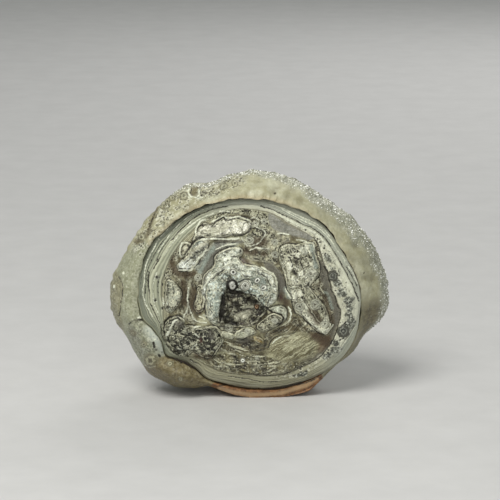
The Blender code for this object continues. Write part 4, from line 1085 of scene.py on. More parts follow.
def rim_relief(rim):
    """Height of the fine forms over the hood, the lobes and the back, in millimetres."""
    fields, points = rim.fields, rim.points
    hood = rim.section - LIP_POINT
    smooth = np.maximum.reduce([fields["in_" + name] for name in SMOOTH_RIM])
    height = 0.05 * noise_at(points, 1.1, 3.0) + 0.03 * noise_at(points, 0.5, 5.0)
    height += hood_relief(rim, hood) + 0.16 * noise_at(points, 1.9, 21.0) * ease(hood / 0.5)
    near, own = cells_at(points, 0.95, 6.0)
    pits = ease(1 - near / 0.42) * ease((own - 0.25) / 0.2)
    height -= 0.22 * pits * fields["speckled"] * ease(hood / 0.5)
    near, _ = cells_at(points, 1.15, 13.0)
    height += 0.24 * ease(1 - abs(hood - 3.0) / 1.6) * (1 - smooth) * ease(0.9 - near)
    near, _ = cells_at(points, 0.55, 33.0)
    height += fields["druzy"] * 0.14 * ease(1 - near)
    orb = fields["orb_rim"]
    height += 0.14 * (ease(1.5 - orb * 1.2) - 0.6 * ease(1 - orb * 2.4)) * (hood < 4)
    height += 0.08 * ease(0.5 - fields["stroke_white"] / 0.2)
    height -= 0.14 * ease(0.5 - fields["stroke_dark"] / 0.2)
    height *= 1 - 0.5 * smooth
    fields["raised"] = height
    return height


def build_stone():
    """The stone at its final size, and the regions that its two materials cover."""
    stone = Stone()
    stone.lift(sum(size * noise_at(stone.points, length, np.array(WAVE_SHIFT)) for length, size in WAVES))
    stone.fit_to_size()
    rim_points = np.unique(np.concatenate([stone.cells["rose_hood"], stone.cells["rose_back"]]))
    face = Region(stone, np.arange(stone.face_count), FACE_WARP_SHIFT)
    rim = Region(stone, rim_points, RIM_WARP_SHIFT)
    drawn_fields(face)
    band_fields(face)
    orb_fields(face)
    hood_fields(rim)
    back_fields(rim)
    height = np.zeros(len(stone.points))
    height[face.index] = face_relief(face)
    height[rim.index] = rim_relief(rim)
    stone.lift(height)
    stone.points[:, 2] = np.maximum(stone.points[:, 2], 0.0)
    face.points, rim.points = stone.points[face.index], stone.points[rim.index]
    return stone, face, rim


def linear(tone):
    """Linear colour of an 8-bit one."""
    share = np.array(tone) / 255
    return tuple(np.where(share <= 0.04045, share / 12.92, ((share + 0.055) / 1.055) ** 2.4)) + (1.0,)


class Paint:
    """A material's nodes, made one call at a time."""

    def __init__(self, name):
        self.material = bpy.data.materials.new(name)
        self.material.use_nodes = True
        self.nodes = self.material.node_tree.nodes
        self.links = self.material.node_tree.links
        self.shader = self.nodes["Principled BSDF"]
        place = self.node("TexCoord").outputs["Object"]
        self.place = self.node("VectorMath", {0: place, 1: (1 / MM,) * 3}, operation="MULTIPLY").outputs[0]

    def node(self, kind, inputs=None, **settings):
        """A new node with these settings, whose inputs are values or other nodes' outputs."""
        node = self.nodes.new("ShaderNode" + kind)
        for name, value in settings.items():
            setattr(node, name, value)
        for name, value in (inputs or {}).items():
            self.feed(node.inputs[name], value)
        return node

    def feed(self, socket, value):
        """Gives a socket a value or another node's output."""
        if isinstance(value, bpy.types.NodeSocket):
            self.links.new(value, socket)
        else:
            socket.default_value = value

    def field(self, name):
        """A value that is stored on the mesh."""
        return self.node("Attribute", attribute_name=name).outputs["Fac"]

    def math(self, operation, first, second=0.0):
        return self.node("Math", {0: first, 1: second}, operation=operation).outputs[0]

    def times(self, first, *others):
        for other in others:
            first = self.math("MULTIPLY", first, other)
        return first

    def plus(self, first, *others):
        for other in others:
            first = self.math("ADD", first, other)
        return first

    def minus(self, first, second):
        return self.math("SUBTRACT", first, second)

    def span(self, value, low, high):
        """A smooth step from 0 at low to 1 at high, which may be the lower one."""
        node = self.node("MapRange", {"Value": value, "From Min": low, "From Max": high},
                         interpolation_type="SMOOTHSTEP")
        return node.outputs["Result"]

    def spread(self, value, low, high, start=0.0, end=1.0):
        """A straight run from low to high while the value goes from start to end."""
        inputs = {"Value": value, "From Min": start, "From Max": end, "To Min": low, "To Max": high}
        return self.node("MapRange", inputs).outputs["Result"]

    def near(self, value, middle, width):
        """1 where the value is middle, down to 0 at width from it."""
        return self.span(self.math("ABSOLUTE", self.minus(value, middle)), width, width * 0.35)

    def blend(self, share, first, second):
        """A value between two others."""
        return self.node("Mix", {0: share, 2: first, 3: second}).outputs[0]

    def mix(self, share, first, second, blend="MIX"):
        """A colour between two others, each given as a node's output or an 8-bit tone."""
        first, second = (
            linear(tone) if isinstance(tone, tuple) and len(tone) == 3 else tone for tone in (first, second)
        )
        node = self.node("MixRGB", {"Fac": share, "Color1": first, "Color2": second}, blend_type=blend)
        return node.outputs["Color"]

    def ramp(self, value, stops):
        """Colours along a value, given as (place, 8-bit tone)."""
        node = self.node("ValToRGB", {"Fac": value})
        ends = node.color_ramp.elements
        while len(ends) < len(stops):
            ends.new(1.0)
        for end, (place, tone) in zip(ends, stops):
            end.position = place
            end.color = linear(tone)
        return node.outputs["Color"]

    def noise(self, length, detail=2.0, rough=0.5, shift=0.0, bend=0.0):
        """Noise whose lumps are about length millimetres apart."""
        place = self.node("VectorMath", {0: self.place, 1: (shift,) * 3}, operation="ADD").outputs[0]
        inputs = {"Vector": place, "Scale": 1 / length, "Detail": detail, "Roughness": rough}
        return self.node("TexNoise", inputs | {"Distortion": bend}).outputs["Fac"]

    def ragged(self, length, size, shift, detail=2.0, rough=0.6):
        """Noise on both sides of 0, times size."""
        return self.times(self.minus(self.noise(length, detail, rough, shift), 0.5), size)

    def drawn_out(self, across, width, length, shift=0.0):
        """Noise drawn out along the lines on which a value is constant, across them by width."""
        x, _, z = self.node("SeparateXYZ", {0: self.place}).outputs
        parts = {0: self.math("DIVIDE", across, width), 1: self.math("DIVIDE", x, length),
                 2: self.plus(self.math("DIVIDE", z, length), shift)}
        place = self.node("CombineXYZ", parts).outputs[0]
        inputs = {"Vector": place, "Scale": 1.0, "Detail": 2.5, "Roughness": 0.6}
        return self.node("TexNoise", inputs).outputs["Fac"]

    def across(self, turn):
        """How far a point lies, in millimetres, across lines on the face that rise by this many degrees."""
        turn = math.radians(turn)
        side = (math.sin(turn), 0.0, -math.cos(turn))
        return self.node("VectorMath", {0: self.place, 1: side}, operation="DOT_PRODUCT").outputs["Value"]

    def cells(self, length, shift):
        """Distance to the nearest of points about length millimetres apart, and each cell's own value."""
        place = self.node("VectorMath", {0: self.place, 1: (shift,) * 3}, operation="ADD").outputs[0]
        node = self.node("TexVoronoi", {"Vector": place, "Scale": 1 / length})
        own = self.node("SeparateColor", {0: node.outputs["Color"]}).outputs[0]
        return node.outputs["Distance"], own

    def bump(self, height, depth):
        """A normal for a height, whose full range is depth millimetres."""
        inputs = {"Height": height, "Distance": depth * MM, "Strength": 1.0}
        return self.node("Bump", inputs).outputs["Normal"]

    def wax(self, colour, rough, height, depth, glow, reach):
        """The waxy stone: its skin's relief is depth deep, and light passes reach into it by a share."""
        inputs = self.shader.inputs
        self.feed(inputs["Base Color"], colour)
        self.feed(inputs["Roughness"], rough)
        self.feed(inputs["Normal"], self.bump(height, depth))
        inputs["Subsurface Weight"].default_value = glow
        inputs["Subsurface Radius"].default_value = WAX_RADIUS
        inputs["Subsurface Scale"].default_value = reach * MM
        return self.material


# Tones of the face's zones, drawn in this order: dark and light tones, then the shares of dark pits,
# white specks, winding lines and lines round the hub
Zone = namedtuple("Zone", "name dark light pits specks lines flow")
FACE_ZONES = (
    Zone("bottom", (54, 49, 34), (146, 141, 112), 0.35, 0.9, 0.4, 1.0),
    Zone("low_brown", (52, 45, 30), (112, 103, 75), 0.2, 0.4, 0.4, 0.9),
    Zone("top_speckle", (74, 70, 54), (206, 207, 184), 0.9, 0.8, 0.9, 0.4),
    Zone("swirl_zone", (34, 28, 19), (202, 200, 179), 0.3, 0.5, 0.9, 0.3),
    Zone("left_brown", (64, 56, 40), (142, 137, 113), 0.3, 0.4, 0.5, 0.6),
    Zone("left_grains", (44, 39, 27), (152, 149, 126), 0.9, 0.7, 0.4, 0.3),
    Zone("right_flank", (88, 80, 62), (192, 188, 166), 0.7, 0.6, 0.9, 0.3),
    Zone("blue_band", (112, 114, 110), (180, 185, 176), 0.0, 0.1, 0.2, 0.3),
    Zone("grey_zone", (134, 135, 129), (162, 162, 156), 0.1, 0.1, 0.0, 0.1),
    Zone("grey_arc", (92, 90, 84), (136, 134, 124), 0.1, 0.1, 0.1, 0.3),
    Zone("crescent_body", (180, 181, 166), (255, 255, 248), 0.7, 0.4, 0.8, 0.2),
    Zone("crescent_leaf", (150, 154, 146), (246, 252, 250), 0.6, 0.3, 0.7, 0.0),
    Zone("crescent_tip", (104, 100, 84), (208, 207, 190), 0.6, 0.4, 0.5, 0.0),
    Zone("right_island", (132, 132, 114), (250, 252, 240), 0.8, 0.5, 1.0, 0.2),
    Zone("left_lens", (78, 80, 66), (204, 208, 196), 1.0, 0.5, 0.9, 0.3),
    Zone("cell_chain", (92, 86, 64), (206, 204, 180), 0.8, 0.4, 0.9, 0.0),
    Zone("bulb", (146, 154, 144), (246, 251, 244), 0.5, 0.3, 0.6, 0.2),
    Zone("bulb_inner", (128, 142, 138), (236, 246, 242), 0.7, 0.4, 0.7, 0.2),
    Zone("island_lower", (54, 51, 37), (172, 173, 154), 0.9, 0.6, 0.9, 0.2),
    Zone("cavity", (20, 17, 12), (96, 80, 52), 0.7, 0.35, 1.0, 0.0),
    Zone("loop", (104, 108, 100), (208, 214, 202), 0.5, 0.4, 0.6, 0.0),
    Zone("ring_lens", (36, 34, 27), (150, 149, 130), 0.8, 0.7, 0.9, 0.0),
    Zone("white_cell_1", (150, 152, 134), (230, 233, 216), 0.3, 0.2, 0.5, 0.0),
    Zone("white_cell_2", (144, 147, 128), (230, 233, 216), 0.4, 0.2, 0.7, 0.0),
    Zone("yellow_cell", (120, 98, 50), (208, 190, 128), 0.4, 0.2, 0.6, 0.0),
    Zone("cluster", (20, 18, 12), (88, 87, 64), 0.7, 1.0, 1.0, 0.0),
    Zone("lower_lens", (116, 111, 84), (176, 173, 146), 0.2, 0.2, 0.2, 0.0),
    Zone("brown_patch", (84, 64, 48), (118, 96, 72), 0.0, 0.0, 0.1, 0.2),
    Zone("wedge", (50, 47, 34), (82, 79, 60), 0.1, 0.1, 0.0, 0.3),
)
PIT_TONE, SPECK_TONE = (38, 34, 26), (230, 230, 212)
LINE_TONE, PALE_LINE_TONE = (52, 48, 40), (216, 216, 198)

# How far red, green and blue light pass into the wax, beside each other
WAX_RADIUS = (1.0, 0.9, 0.7)

# The core's tones are drawn apart: linear colour to this power, times this gain
CORE_CONTRAST, CORE_GAIN = 1.25, (1.18, 1.18, 1.17, 1.0)

# The ground between the face's islands, as (place, tone) along a noise
GROUND_TONES = (
    (0.32, (74, 68, 52)), (0.46, (118, 113, 92)), (0.56, (162, 160, 137)), (0.70, (198, 198, 175)),
)

# The lumps of the cluster and the cavity by each one's own value, and the blobs in the cream band
LUMP_TONES = ((0.0, (54, 51, 38)), (0.45, (96, 94, 74)), (0.75, (150, 150, 132)), (1.0, (206, 208, 194)))
CHAIN_TONES = ((0.38, (24, 22, 17)), (0.47, (70, 72, 63)), (0.56, (140, 144, 133)), (0.63, (232, 234, 219)))

# Layers just inside the core's edge by millimetres from it: broad at the right, fine elsewhere
RIGHT_LAYERS = (
    (0.00, (150, 149, 132)), (0.12, (160, 158, 142)), (0.30, (136, 134, 122)), (0.62, (118, 115, 104)),
    (0.86, (134, 130, 114)), (1.00, (96, 90, 74)),
)
FINE_LAYERS = (
    (0.00, (196, 196, 174)), (0.14, (130, 127, 108)), (0.24, (204, 204, 184)), (0.38, (142, 140, 120)),
    (0.50, (192, 192, 170)), (0.60, (112, 108, 90)), (0.74, (186, 185, 164)), (1.00, (150, 147, 126)),
)

# Shares of pits, specks and winding lines in the cream band and on the speckled part of the hood,
# and how steeply the lower lens's fibres rise to the right, in degrees
CREAM_MARKS, HOOD_MARKS = (0.9, 0.5, 0.5), (0.8, 0.5, 0.75)
FIBRE_RISE = 32.0

# Bands from the face's edge to 1.0 at its dark line and 2.0 at the core's edge, as (place, tone)
RIGHT_BANDS = (
    (0.00, (92, 78, 58)), (0.05, (172, 176, 164)), (0.12, (168, 171, 156)), (0.40, (157, 160, 145)),
    (0.50, (176, 180, 164)), (0.56, (196, 199, 182)), (0.62, (134, 138, 128)), (0.68, (186, 190, 172)),
    (0.74, (128, 131, 120)), (0.80, (204, 207, 190)), (0.87, (120, 122, 110)), (0.92, (196, 198, 180)),
    (0.965, (190, 192, 174)), (1.00, (120, 116, 100)), (1.05, (196, 198, 180)), (1.15, (212, 214, 194)),
    (1.50, (204, 205, 184)), (1.75, (192, 192, 170)), (1.90, (206, 206, 186)), (1.96, (150, 148, 130)),
    (2.00, (56, 51, 42)),
)
LEFT_BANDS = (
    (0.00, (150, 150, 128)), (0.04, (184, 185, 163)), (0.10, (128, 131, 117)), (0.26, (132, 136, 122)),
    (0.34, (140, 143, 128)), (0.44, (120, 124, 112)), (0.50, (190, 191, 170)), (0.56, (118, 120, 106)),
    (0.64, (150, 154, 140)), (0.74, (186, 188, 166)), (0.82, (128, 130, 116)), (0.90, (200, 201, 180)),
    (0.96, (128, 126, 110)), (1.00, (196, 198, 178)), (1.12, (212, 212, 190)), (1.30, (146, 148, 130)),
    (1.48, (188, 189, 168)), (1.66, (136, 139, 124)), (1.82, (200, 200, 178)), (1.93, (104, 102, 86)),
    (2.00, (140, 138, 120)),
)
LOW_BANDS = (
    (0.00, (66, 58, 43)), (0.10, (84, 80, 62)), (0.26, (98, 95, 77)), (0.36, (138, 137, 118)),
    (0.44, (112, 110, 91)), (0.60, (126, 124, 101)), (0.66, (160, 159, 136)), (0.72, (120, 117, 94)),
    (0.84, (134, 131, 106)), (0.92, (172, 171, 147)), (1.00, (98, 93, 73)), (1.10, (160, 158, 132)),
    (1.45, (144, 141, 114)), (1.70, (166, 164, 139)), (1.92, (136, 132, 106)), (2.00, (56, 50, 38)),
)
BAND_SPAN = 2.0

# The left bands lie further from the light, so each channel of their tones is taken to this share
LEFT_SHADE = (0.92, 0.93, 0.91)


def band_colour(paint, wobble):
    """The place across the bands that run round the face, and their colour."""
    band = paint.plus(paint.field("band"), paint.times(wobble, 0.05))
    place = paint.math("DIVIDE", band, BAND_SPAN)
    right, left, low = (
        paint.ramp(place, [(stop / BAND_SPAN, np.multiply(tone, shade)) for stop, tone in bands])
        for bands, shade in ((RIGHT_BANDS, 1.0), (LEFT_BANDS, LEFT_SHADE), (LOW_BANDS, 1.0))
    )
    sides = paint.mix(paint.field("on_left"), right, left)
    streaks = paint.span(paint.drawn_out(paint.field("edge_in"), 0.3, 4.0, 11.0), 0.40, 0.60)
    low = paint.mix(paint.times(streaks, 0.25), low, (196, 194, 170))
    return band, paint.mix(paint.field("on_low"), sides, low)


def draw_streaks(paint, colour, streaks, strength):
    """Dark and pale lines where a noise is low and high, and how high they stand."""
    dark = paint.times(paint.span(streaks, 0.44, 0.37), strength)
    pale = paint.times(paint.span(streaks, 0.55, 0.62), strength)
    colour = paint.mix(pale, paint.mix(dark, colour, (50, 45, 33)), (224, 225, 206))
    return colour, paint.minus(pale, dark)


def inner_edge_colour(paint, core, band):
    """The smooth grey layers just inside the core's edge, broad at the right and fine elsewhere."""
    inwards = paint.minus(band, BAND_SPAN)
    right, rest = (paint.ramp(inwards, layers) for layers in (RIGHT_LAYERS, FINE_LAYERS))
    layers = paint.mix(paint.field("on_right"), rest, right)
    return paint.mix(paint.span(band, 3.15, 2.9), core, layers)


def band_marks_colour(paint, colour, band):
    """Small dark pits in the cream band between the dark line and the core's edge."""
    cream = paint.times(paint.span(band, 1.05, 1.25), paint.span(band, 1.98, 1.85), paint.field("on_right"))
    return grain_marks(paint, colour, [paint.times(cream, share) for share in CREAM_MARKS], 1.1)


def zone_colours(paint, colour, zones, grain):
    """Adds each zone's tones, and gives the shares of pits, specks, winding lines and round lines."""
    shares = [0.0, 0.0, 0.0, 0.0]
    for zone in zones:
        inside = paint.field("in_" + zone.name)
        colour = paint.mix(inside, colour, paint.mix(grain, zone.dark, zone.light))
        wanted = (zone.pits, zone.specks, zone.lines, zone.flow)
        shares = [paint.blend(inside, share, own) for share, own in zip(shares, wanted)]
    return colour, shares


def draw_outlines(paint, colour, distance, size, strength):
    """A pale line just inside an outline, a dark one just outside it and a fainter one further in."""
    lines = ((-2.2, 0.7, 0.45, LINE_TONE), (-0.9, 1.0, 0.9, PALE_LINE_TONE), (0.6, 0.8, 0.9, LINE_TONE))
    for middle, width, share, tone in lines:
        line = paint.near(distance, middle * size, width * size)
        colour = paint.mix(paint.times(line, paint.times(strength, share)), colour, tone)
    return colour


def draw_strokes(paint, colour, kinds, wobble):
    """The drawn lines and patches of these kinds, in this order."""
    frayed = paint.ragged(0.32, 0.42, 37.0)
    broken = paint.plus(paint.times(paint.span(paint.noise(1.3, 1.0, 0.5, 47.0), 0.30, 0.50), 0.6), 0.4)
    for kind in kinds:
        edge = paint.plus(paint.field("stroke_" + kind), frayed)
        if kind in SOFT_STROKES:
            soft = SOFT_STROKES[kind]
            edge = paint.plus(edge, paint.times(wobble, soft))
            share = paint.times(paint.span(edge, soft, -0.5 * soft), 0.8)
        else:
            share = paint.times(paint.span(edge, 0.06, -0.06), broken)
        colour = paint.mix(share, colour, STROKE_TONES[kind])
    return colour


# How strongly each kind of orb is drawn, how uneven its rings are, and their tones from the middle out
OrbLook = namedtuple("OrbLook", "strength uneven rings")
ORB_LOOKS = {
    "pale": OrbLook(0.75, 1.0, (
        (0.00, (70, 66, 56)), (0.20, (84, 80, 68)), (0.28, (206, 208, 192)), (0.52, (190, 192, 176)),
        (0.60, (112, 110, 96)), (0.72, (200, 202, 184)), (0.90, (196, 198, 180)), (1.00, (108, 105, 90)))),
    "dark": OrbLook(1.0, 1.0, (
        (0.00, (150, 152, 142)), (0.14, (136, 138, 128)), (0.22, (62, 62, 56)), (0.45, (84, 86, 78)),
        (0.55, (150, 152, 140)), (0.64, (74, 74, 66)), (0.85, (88, 88, 78)), (1.00, (58, 55, 46)))),
    "rust": OrbLook(1.0, 1.0, (
        (0.00, (24, 18, 14)), (0.25, (30, 22, 16)), (0.36, (198, 168, 134)), (0.55, (178, 142, 110)),
        (0.75, (92, 70, 53)), (1.00, (48, 36, 27)))),
    "swirl": OrbLook(0.95, 0.4, (
        (0.00, (44, 42, 35)), (0.24, (66, 65, 56)), (0.34, (206, 208, 196)), (0.46, (110, 112, 102)),
        (0.60, (232, 234, 222)), (0.74, (84, 82, 70)), (0.88, (204, 204, 188)), (1.00, (50, 47, 38)))),
    "small_eye": OrbLook(0.95, 0.0, (
        (0.00, (20, 18, 15)), (0.30, (26, 24, 20)), (0.42, (236, 239, 228)), (0.68, (236, 239, 228)),
        (0.84, (84, 83, 73)), (1.00, (150, 151, 138)))),
    "eye": OrbLook(1.0, 0.0, (
        (0.00, (10, 9, 8)), (0.26, (12, 11, 9)), (0.34, (246, 248, 238)), (0.62, (250, 251, 242)),
        (0.72, (58, 56, 50)), (0.84, (30, 27, 23)), (1.00, (34, 30, 25)))),
}
RIM_ORB_LOOK = OrbLook(0.8, 0.9, (
    (0.0, (78, 74, 58)), (0.25, (92, 88, 69)), (0.4, (184, 183, 158)), (0.6, (160, 158, 132)),
    (0.72, (92, 88, 69)), (1.0, (134, 130, 105))))


def draw_orb(paint, colour, field, look, uneven):
    """Rings of one kind of orb."""
    orb = paint.plus(paint.field(field), uneven)
    share = paint.times(paint.span(orb, 1.15, 0.95), look.strength)
    return paint.mix(share, colour, paint.ramp(orb, look.rings))


def draw_orbs(paint, colour):
    """The face's eyes and orbs."""
    ragged = paint.ragged(0.55, 0.75, 81.0)
    for kind, look in ORB_LOOKS.items():
        colour = draw_orb(paint, colour, "orb_" + kind, look, paint.times(ragged, look.uneven))
    return colour


def grain_marks(paint, colour, shares, size):
    """Dark pits with pale rims, white specks and winding lines, and how high they stand."""
    pits, specks, lines = shares
    place, own = paint.cells(0.62 * size, 5.0)
    shown = paint.times(paint.span(own, 0.30, 0.55), pits)
    pit = paint.times(paint.span(place, 0.36, 0.16), shown)
    rim = paint.times(paint.near(place, 0.47, 0.16), shown, 0.7)
    winding = paint.noise(1.15 * size, 2.5, 0.55, 61.0, 0.6)
    shown = paint.times(paint.span(paint.noise(2.6 * size, 1.0, 0.5, 71.0), 0.38, 0.52), lines)
    groove = paint.times(paint.near(winding, 0.50, 0.034), shown)
    ridge = paint.times(paint.near(winding, 0.56, 0.032), shown)
    place, own = paint.cells(0.48 * size, 40.0)
    speck = paint.times(paint.span(place, 0.42, 0.18), paint.span(own, 0.40, 0.62), specks)
    layers = (
        (rim, SPECK_TONE), (groove, LINE_TONE), (ridge, PALE_LINE_TONE), (speck, SPECK_TONE), (pit, PIT_TONE),
    )
    for share, tone in layers:
        colour = paint.mix(share, colour, tone)
    low = paint.plus(pit, paint.times(groove, 0.8))
    high = paint.plus(speck, paint.times(ridge, 0.5))
    return colour, paint.minus(high, low)


def draw_hatch(paint, colour, wobble):
    """The slanting fibres of the lower lens."""
    across = paint.plus(paint.across(FIBRE_RISE), paint.times(wobble, 0.9))
    fibres = paint.span(paint.drawn_out(across, 0.20, 3.0, 3.0), 0.42, 0.60)
    hatched = paint.mix(fibres, (108, 102, 74), (214, 214, 190))
    return paint.mix(paint.times(paint.field("in_lower_lens"), 0.7), colour, hatched)


def draw_edges(paint, colour, uneven, wobble):
    """The lines along the islands' edges and round what lies inside them."""
    frayed = paint.plus(paint.ragged(0.34, 0.30, 29.0), paint.times(wobble, 0.35))
    islands, nested = (paint.plus(paint.field(name), frayed) for name in ("islands", "nested"))
    strength = paint.plus(paint.times(uneven, 0.6), 0.4)
    colour = draw_outlines(paint, colour, nested, 0.12, paint.times(strength, 0.7))
    return draw_outlines(paint, colour, islands, 0.15, strength)


def draw_apart(paint, colour):
    """The core's tones with a fine speckle, drawn apart."""
    speckle = paint.span(paint.noise(0.24, 2.0, 0.7, 67.0), 0.36, 0.64)
    colour = paint.mix(1.0, colour, paint.mix(speckle, (222, 220, 214), (255, 255, 255)), "MULTIPLY")
    colour = paint.node("Gamma", {"Color": colour, "Gamma": CORE_CONTRAST}).outputs[0]
    return paint.mix(1.0, colour, CORE_GAIN, "MULTIPLY")


def core_colour(paint, band, fine, wobble):
    """The face inside its bands, and how high its marks stand."""
    mottle = paint.noise(2.4, 3.0, 0.6, 3.0)
    grain = paint.span(paint.plus(paint.times(fine, 0.6), paint.times(mottle, 0.4)), 0.41, 0.57)
    uneven = paint.span(paint.noise(1.9, 1.0, 0.5, 91.0), 0.36, 0.58)
    core = inner_edge_colour(paint, paint.ramp(mottle, GROUND_TONES), band)
    core, shares = zone_colours(paint, core, FACE_ZONES, grain)
    core, marks = grain_marks(paint, core, shares[:3], 1.0)
    round_hub = paint.drawn_out(paint.field("flow"), 0.42, 3.0)
    core, ridges = draw_streaks(paint, core, round_hub, paint.times(shares[3], 0.8))
    contours = paint.drawn_out(paint.field("islands"), 0.40, 1.8, 7.0)
    strength = paint.times(shares[2], paint.plus(paint.times(uneven, 0.6), 0.3))
    core, rings = draw_streaks(paint, core, contours, strength)
    core = draw_lumps(paint, draw_pits(paint, core, shares[0]))
    core = draw_hatch(paint, core, wobble)
    core = draw_strokes(paint, core, ("grey", "blue", "cream", "brown", "rust", "black"), wobble)
    core = draw_edges(paint, core, uneven, wobble)
    return draw_apart(paint, core), paint.plus(marks, ridges, rings)


def face_material():
    """The waxy banded face."""
    paint = Paint("banded_face")
    fine = paint.noise(0.8, 4.0, 0.7, 11.0)
    wobble = paint.ragged(0.9, 1.0, 23.0, rough=0.5)
    band, banded = band_colour(paint, wobble)
    core, marks = core_colour(paint, band, fine, wobble)
    banded, band_marks = band_marks_colour(paint, banded, band)
    colour = paint.mix(paint.span(band, 1.98, 2.08), banded, core)
    colour = draw_chain(paint, colour, wobble)
    colour = draw_strokes(paint, colour, ("white", "dark"), wobble)
    colour = draw_orbs(paint, colour)
    # Painted shade: the low places of the face's relief are darkened towards dark brown, except on the big
    # eye
    recess_shade = paint.span(paint.field("raised"), -0.02, -0.30)
    recess_shade = paint.times(recess_shade, paint.span(paint.field("orb_eye"), 0.6, 1.1), 0.45)
    colour = paint.mix(recess_shade, colour, (40, 34, 26))
    # Painted shade: the face's edge is darkened to dark brown where it turns down into the crevice under the
    # hood
    crevice_shade = paint.times(paint.span(paint.field("edge_in"), 0.10, -0.25), paint.field("crevice_shade"))
    colour = paint.mix(crevice_shade, colour, (52, 36, 24))
    height = paint.plus(marks, band_marks, paint.times(fine, 0.8))
    return paint.wax(colour, paint.spread(fine, 0.24, 0.42, 0.3, 0.7), height, 0.15, 0.06, 0.5)


def draw_chain(paint, colour, wobble):
    """The chain of dark mottled blobs in the cream band."""
    edge = paint.plus(paint.field("stroke_chain"), paint.times(wobble, 1.1))
    share = paint.times(paint.span(edge, 0.22, -0.12), 0.9)
    return paint.mix(share, colour, paint.ramp(paint.noise(0.42, 3.0, 0.7, 51.0), CHAIN_TONES))


def draw_lumps(paint, colour):
    """The lumps of the cluster and the cavity: dark or pale, with pale rims and black gaps."""
    share = paint.plus(paint.field("in_cluster"), paint.times(paint.field("in_cavity"), 0.7))
    share = paint.times(share, 0.72)
    lump = paint.plus(paint.field("lump"), paint.ragged(0.42, 3.2, 19.0, 3.0, 0.7))
    inner = paint.ramp(paint.field("lump_own"), LUMP_TONES)
    colour = paint.mix(paint.times(paint.span(lump, 0.60, 0.85), share), colour, inner)
    colour = paint.mix(paint.times(paint.near(lump, 0.52, 0.22), share), colour, (214, 216, 200))
    return paint.mix(paint.times(paint.span(lump, 0.28, 0.10), share), colour, (14, 12, 9))


def draw_pits(paint, colour, strength):
    """The pits that are sunk into the face, dark with pale rims."""
    rim = paint.times(paint.field("pit_rim"), strength, 0.6)
    pit = paint.times(paint.span(paint.field("pit"), 0.35, 0.7), strength)
    return paint.mix(pit, paint.mix(rim, colour, SPECK_TONE), PIT_TONE)


RIM_ZONES = (
    Zone("left_layer", (134, 136, 111), (164, 166, 143), 0.2, 0.3, 0.0, 0.0),
    Zone("outer_layer", (116, 113, 88), (158, 155, 130), 0.1, 0.3, 0.0, 0.0),
    Zone("upper_lobe", (104, 106, 86), (158, 160, 138), 0.3, 0.3, 0.2, 0.0),
    # The lower lobe and the right end are their own olive and tan, darkened further as painted shade where
    # the stone turns down
    Zone("lower_lobe", (92, 82, 54), (130, 120, 88), 0.1, 0.1, 0.0, 0.0),
    Zone("right_end", (84, 78, 56), (124, 117, 90), 0.0, 0.1, 0.0, 0.0),
    # The underlip is its own orange brown, darkened further as painted shade under the face
    Zone("underlip", (84, 54, 30), (142, 102, 64), 0.0, 0.0, 0.0, 0.0),
)


def back_colour(paint, colour, grain):
    """The back's cream to tan ground with fine layers along the petals, pale at their rolled edges."""
    stain = paint.span(paint.noise(7.0, 3.0, 0.6, 91.0), 0.42, 0.66)
    ground = paint.mix(grain, (166, 161, 138), (208, 206, 188))
    ground = paint.mix(paint.times(stain, 0.65), ground, (176, 148, 108))
    layers = paint.span(paint.drawn_out(paint.field("layer"), 0.16, 9.0, 17.0), 0.38, 0.62)
    ground = paint.mix(paint.times(layers, 0.35), ground, (138, 131, 106))
    edge = paint.mix(paint.times(layers, 0.5), (222, 219, 203), (176, 170, 146))
    ground = paint.mix(paint.field("petal_edge"), ground, edge)
    return paint.mix(paint.times(paint.field("behind"), 0.85), colour, ground)


def hood_colour(paint, grain):
    """The hood's cream ground, its zones and its crust, and the shares of marks in them."""
    mottle = paint.noise(3.4, 4.0, 0.6, 7.0)
    colour = paint.ramp(mottle, ((0.30, (150, 146, 117)), (0.48, (177, 175, 147)), (0.66, (197, 197, 174))))
    colour = paint.mix(paint.times(grain, 0.35), colour, (136, 131, 102))
    lip = paint.times(paint.span(paint.field("hood"), 0.8, 0.0), paint.field("tan_lip"))
    colour = paint.mix(lip, colour, (178, 162, 130))
    colour, shares = zone_colours(paint, colour, RIM_ZONES, grain)
    crust = paint.mix(grain, (142, 143, 126), (184, 185, 168))
    # White specks on the crust: partly its white crystals and partly painted glints
    near, own = paint.cells(0.26, 9.0)
    speck_and_glint = paint.times(paint.span(near, 0.42, 0.25), paint.span(own, 0.70, 0.80))
    colour = paint.mix(paint.field("druzy"), colour, paint.mix(speck_and_glint, crust, (238, 239, 230)))
    return colour, shares


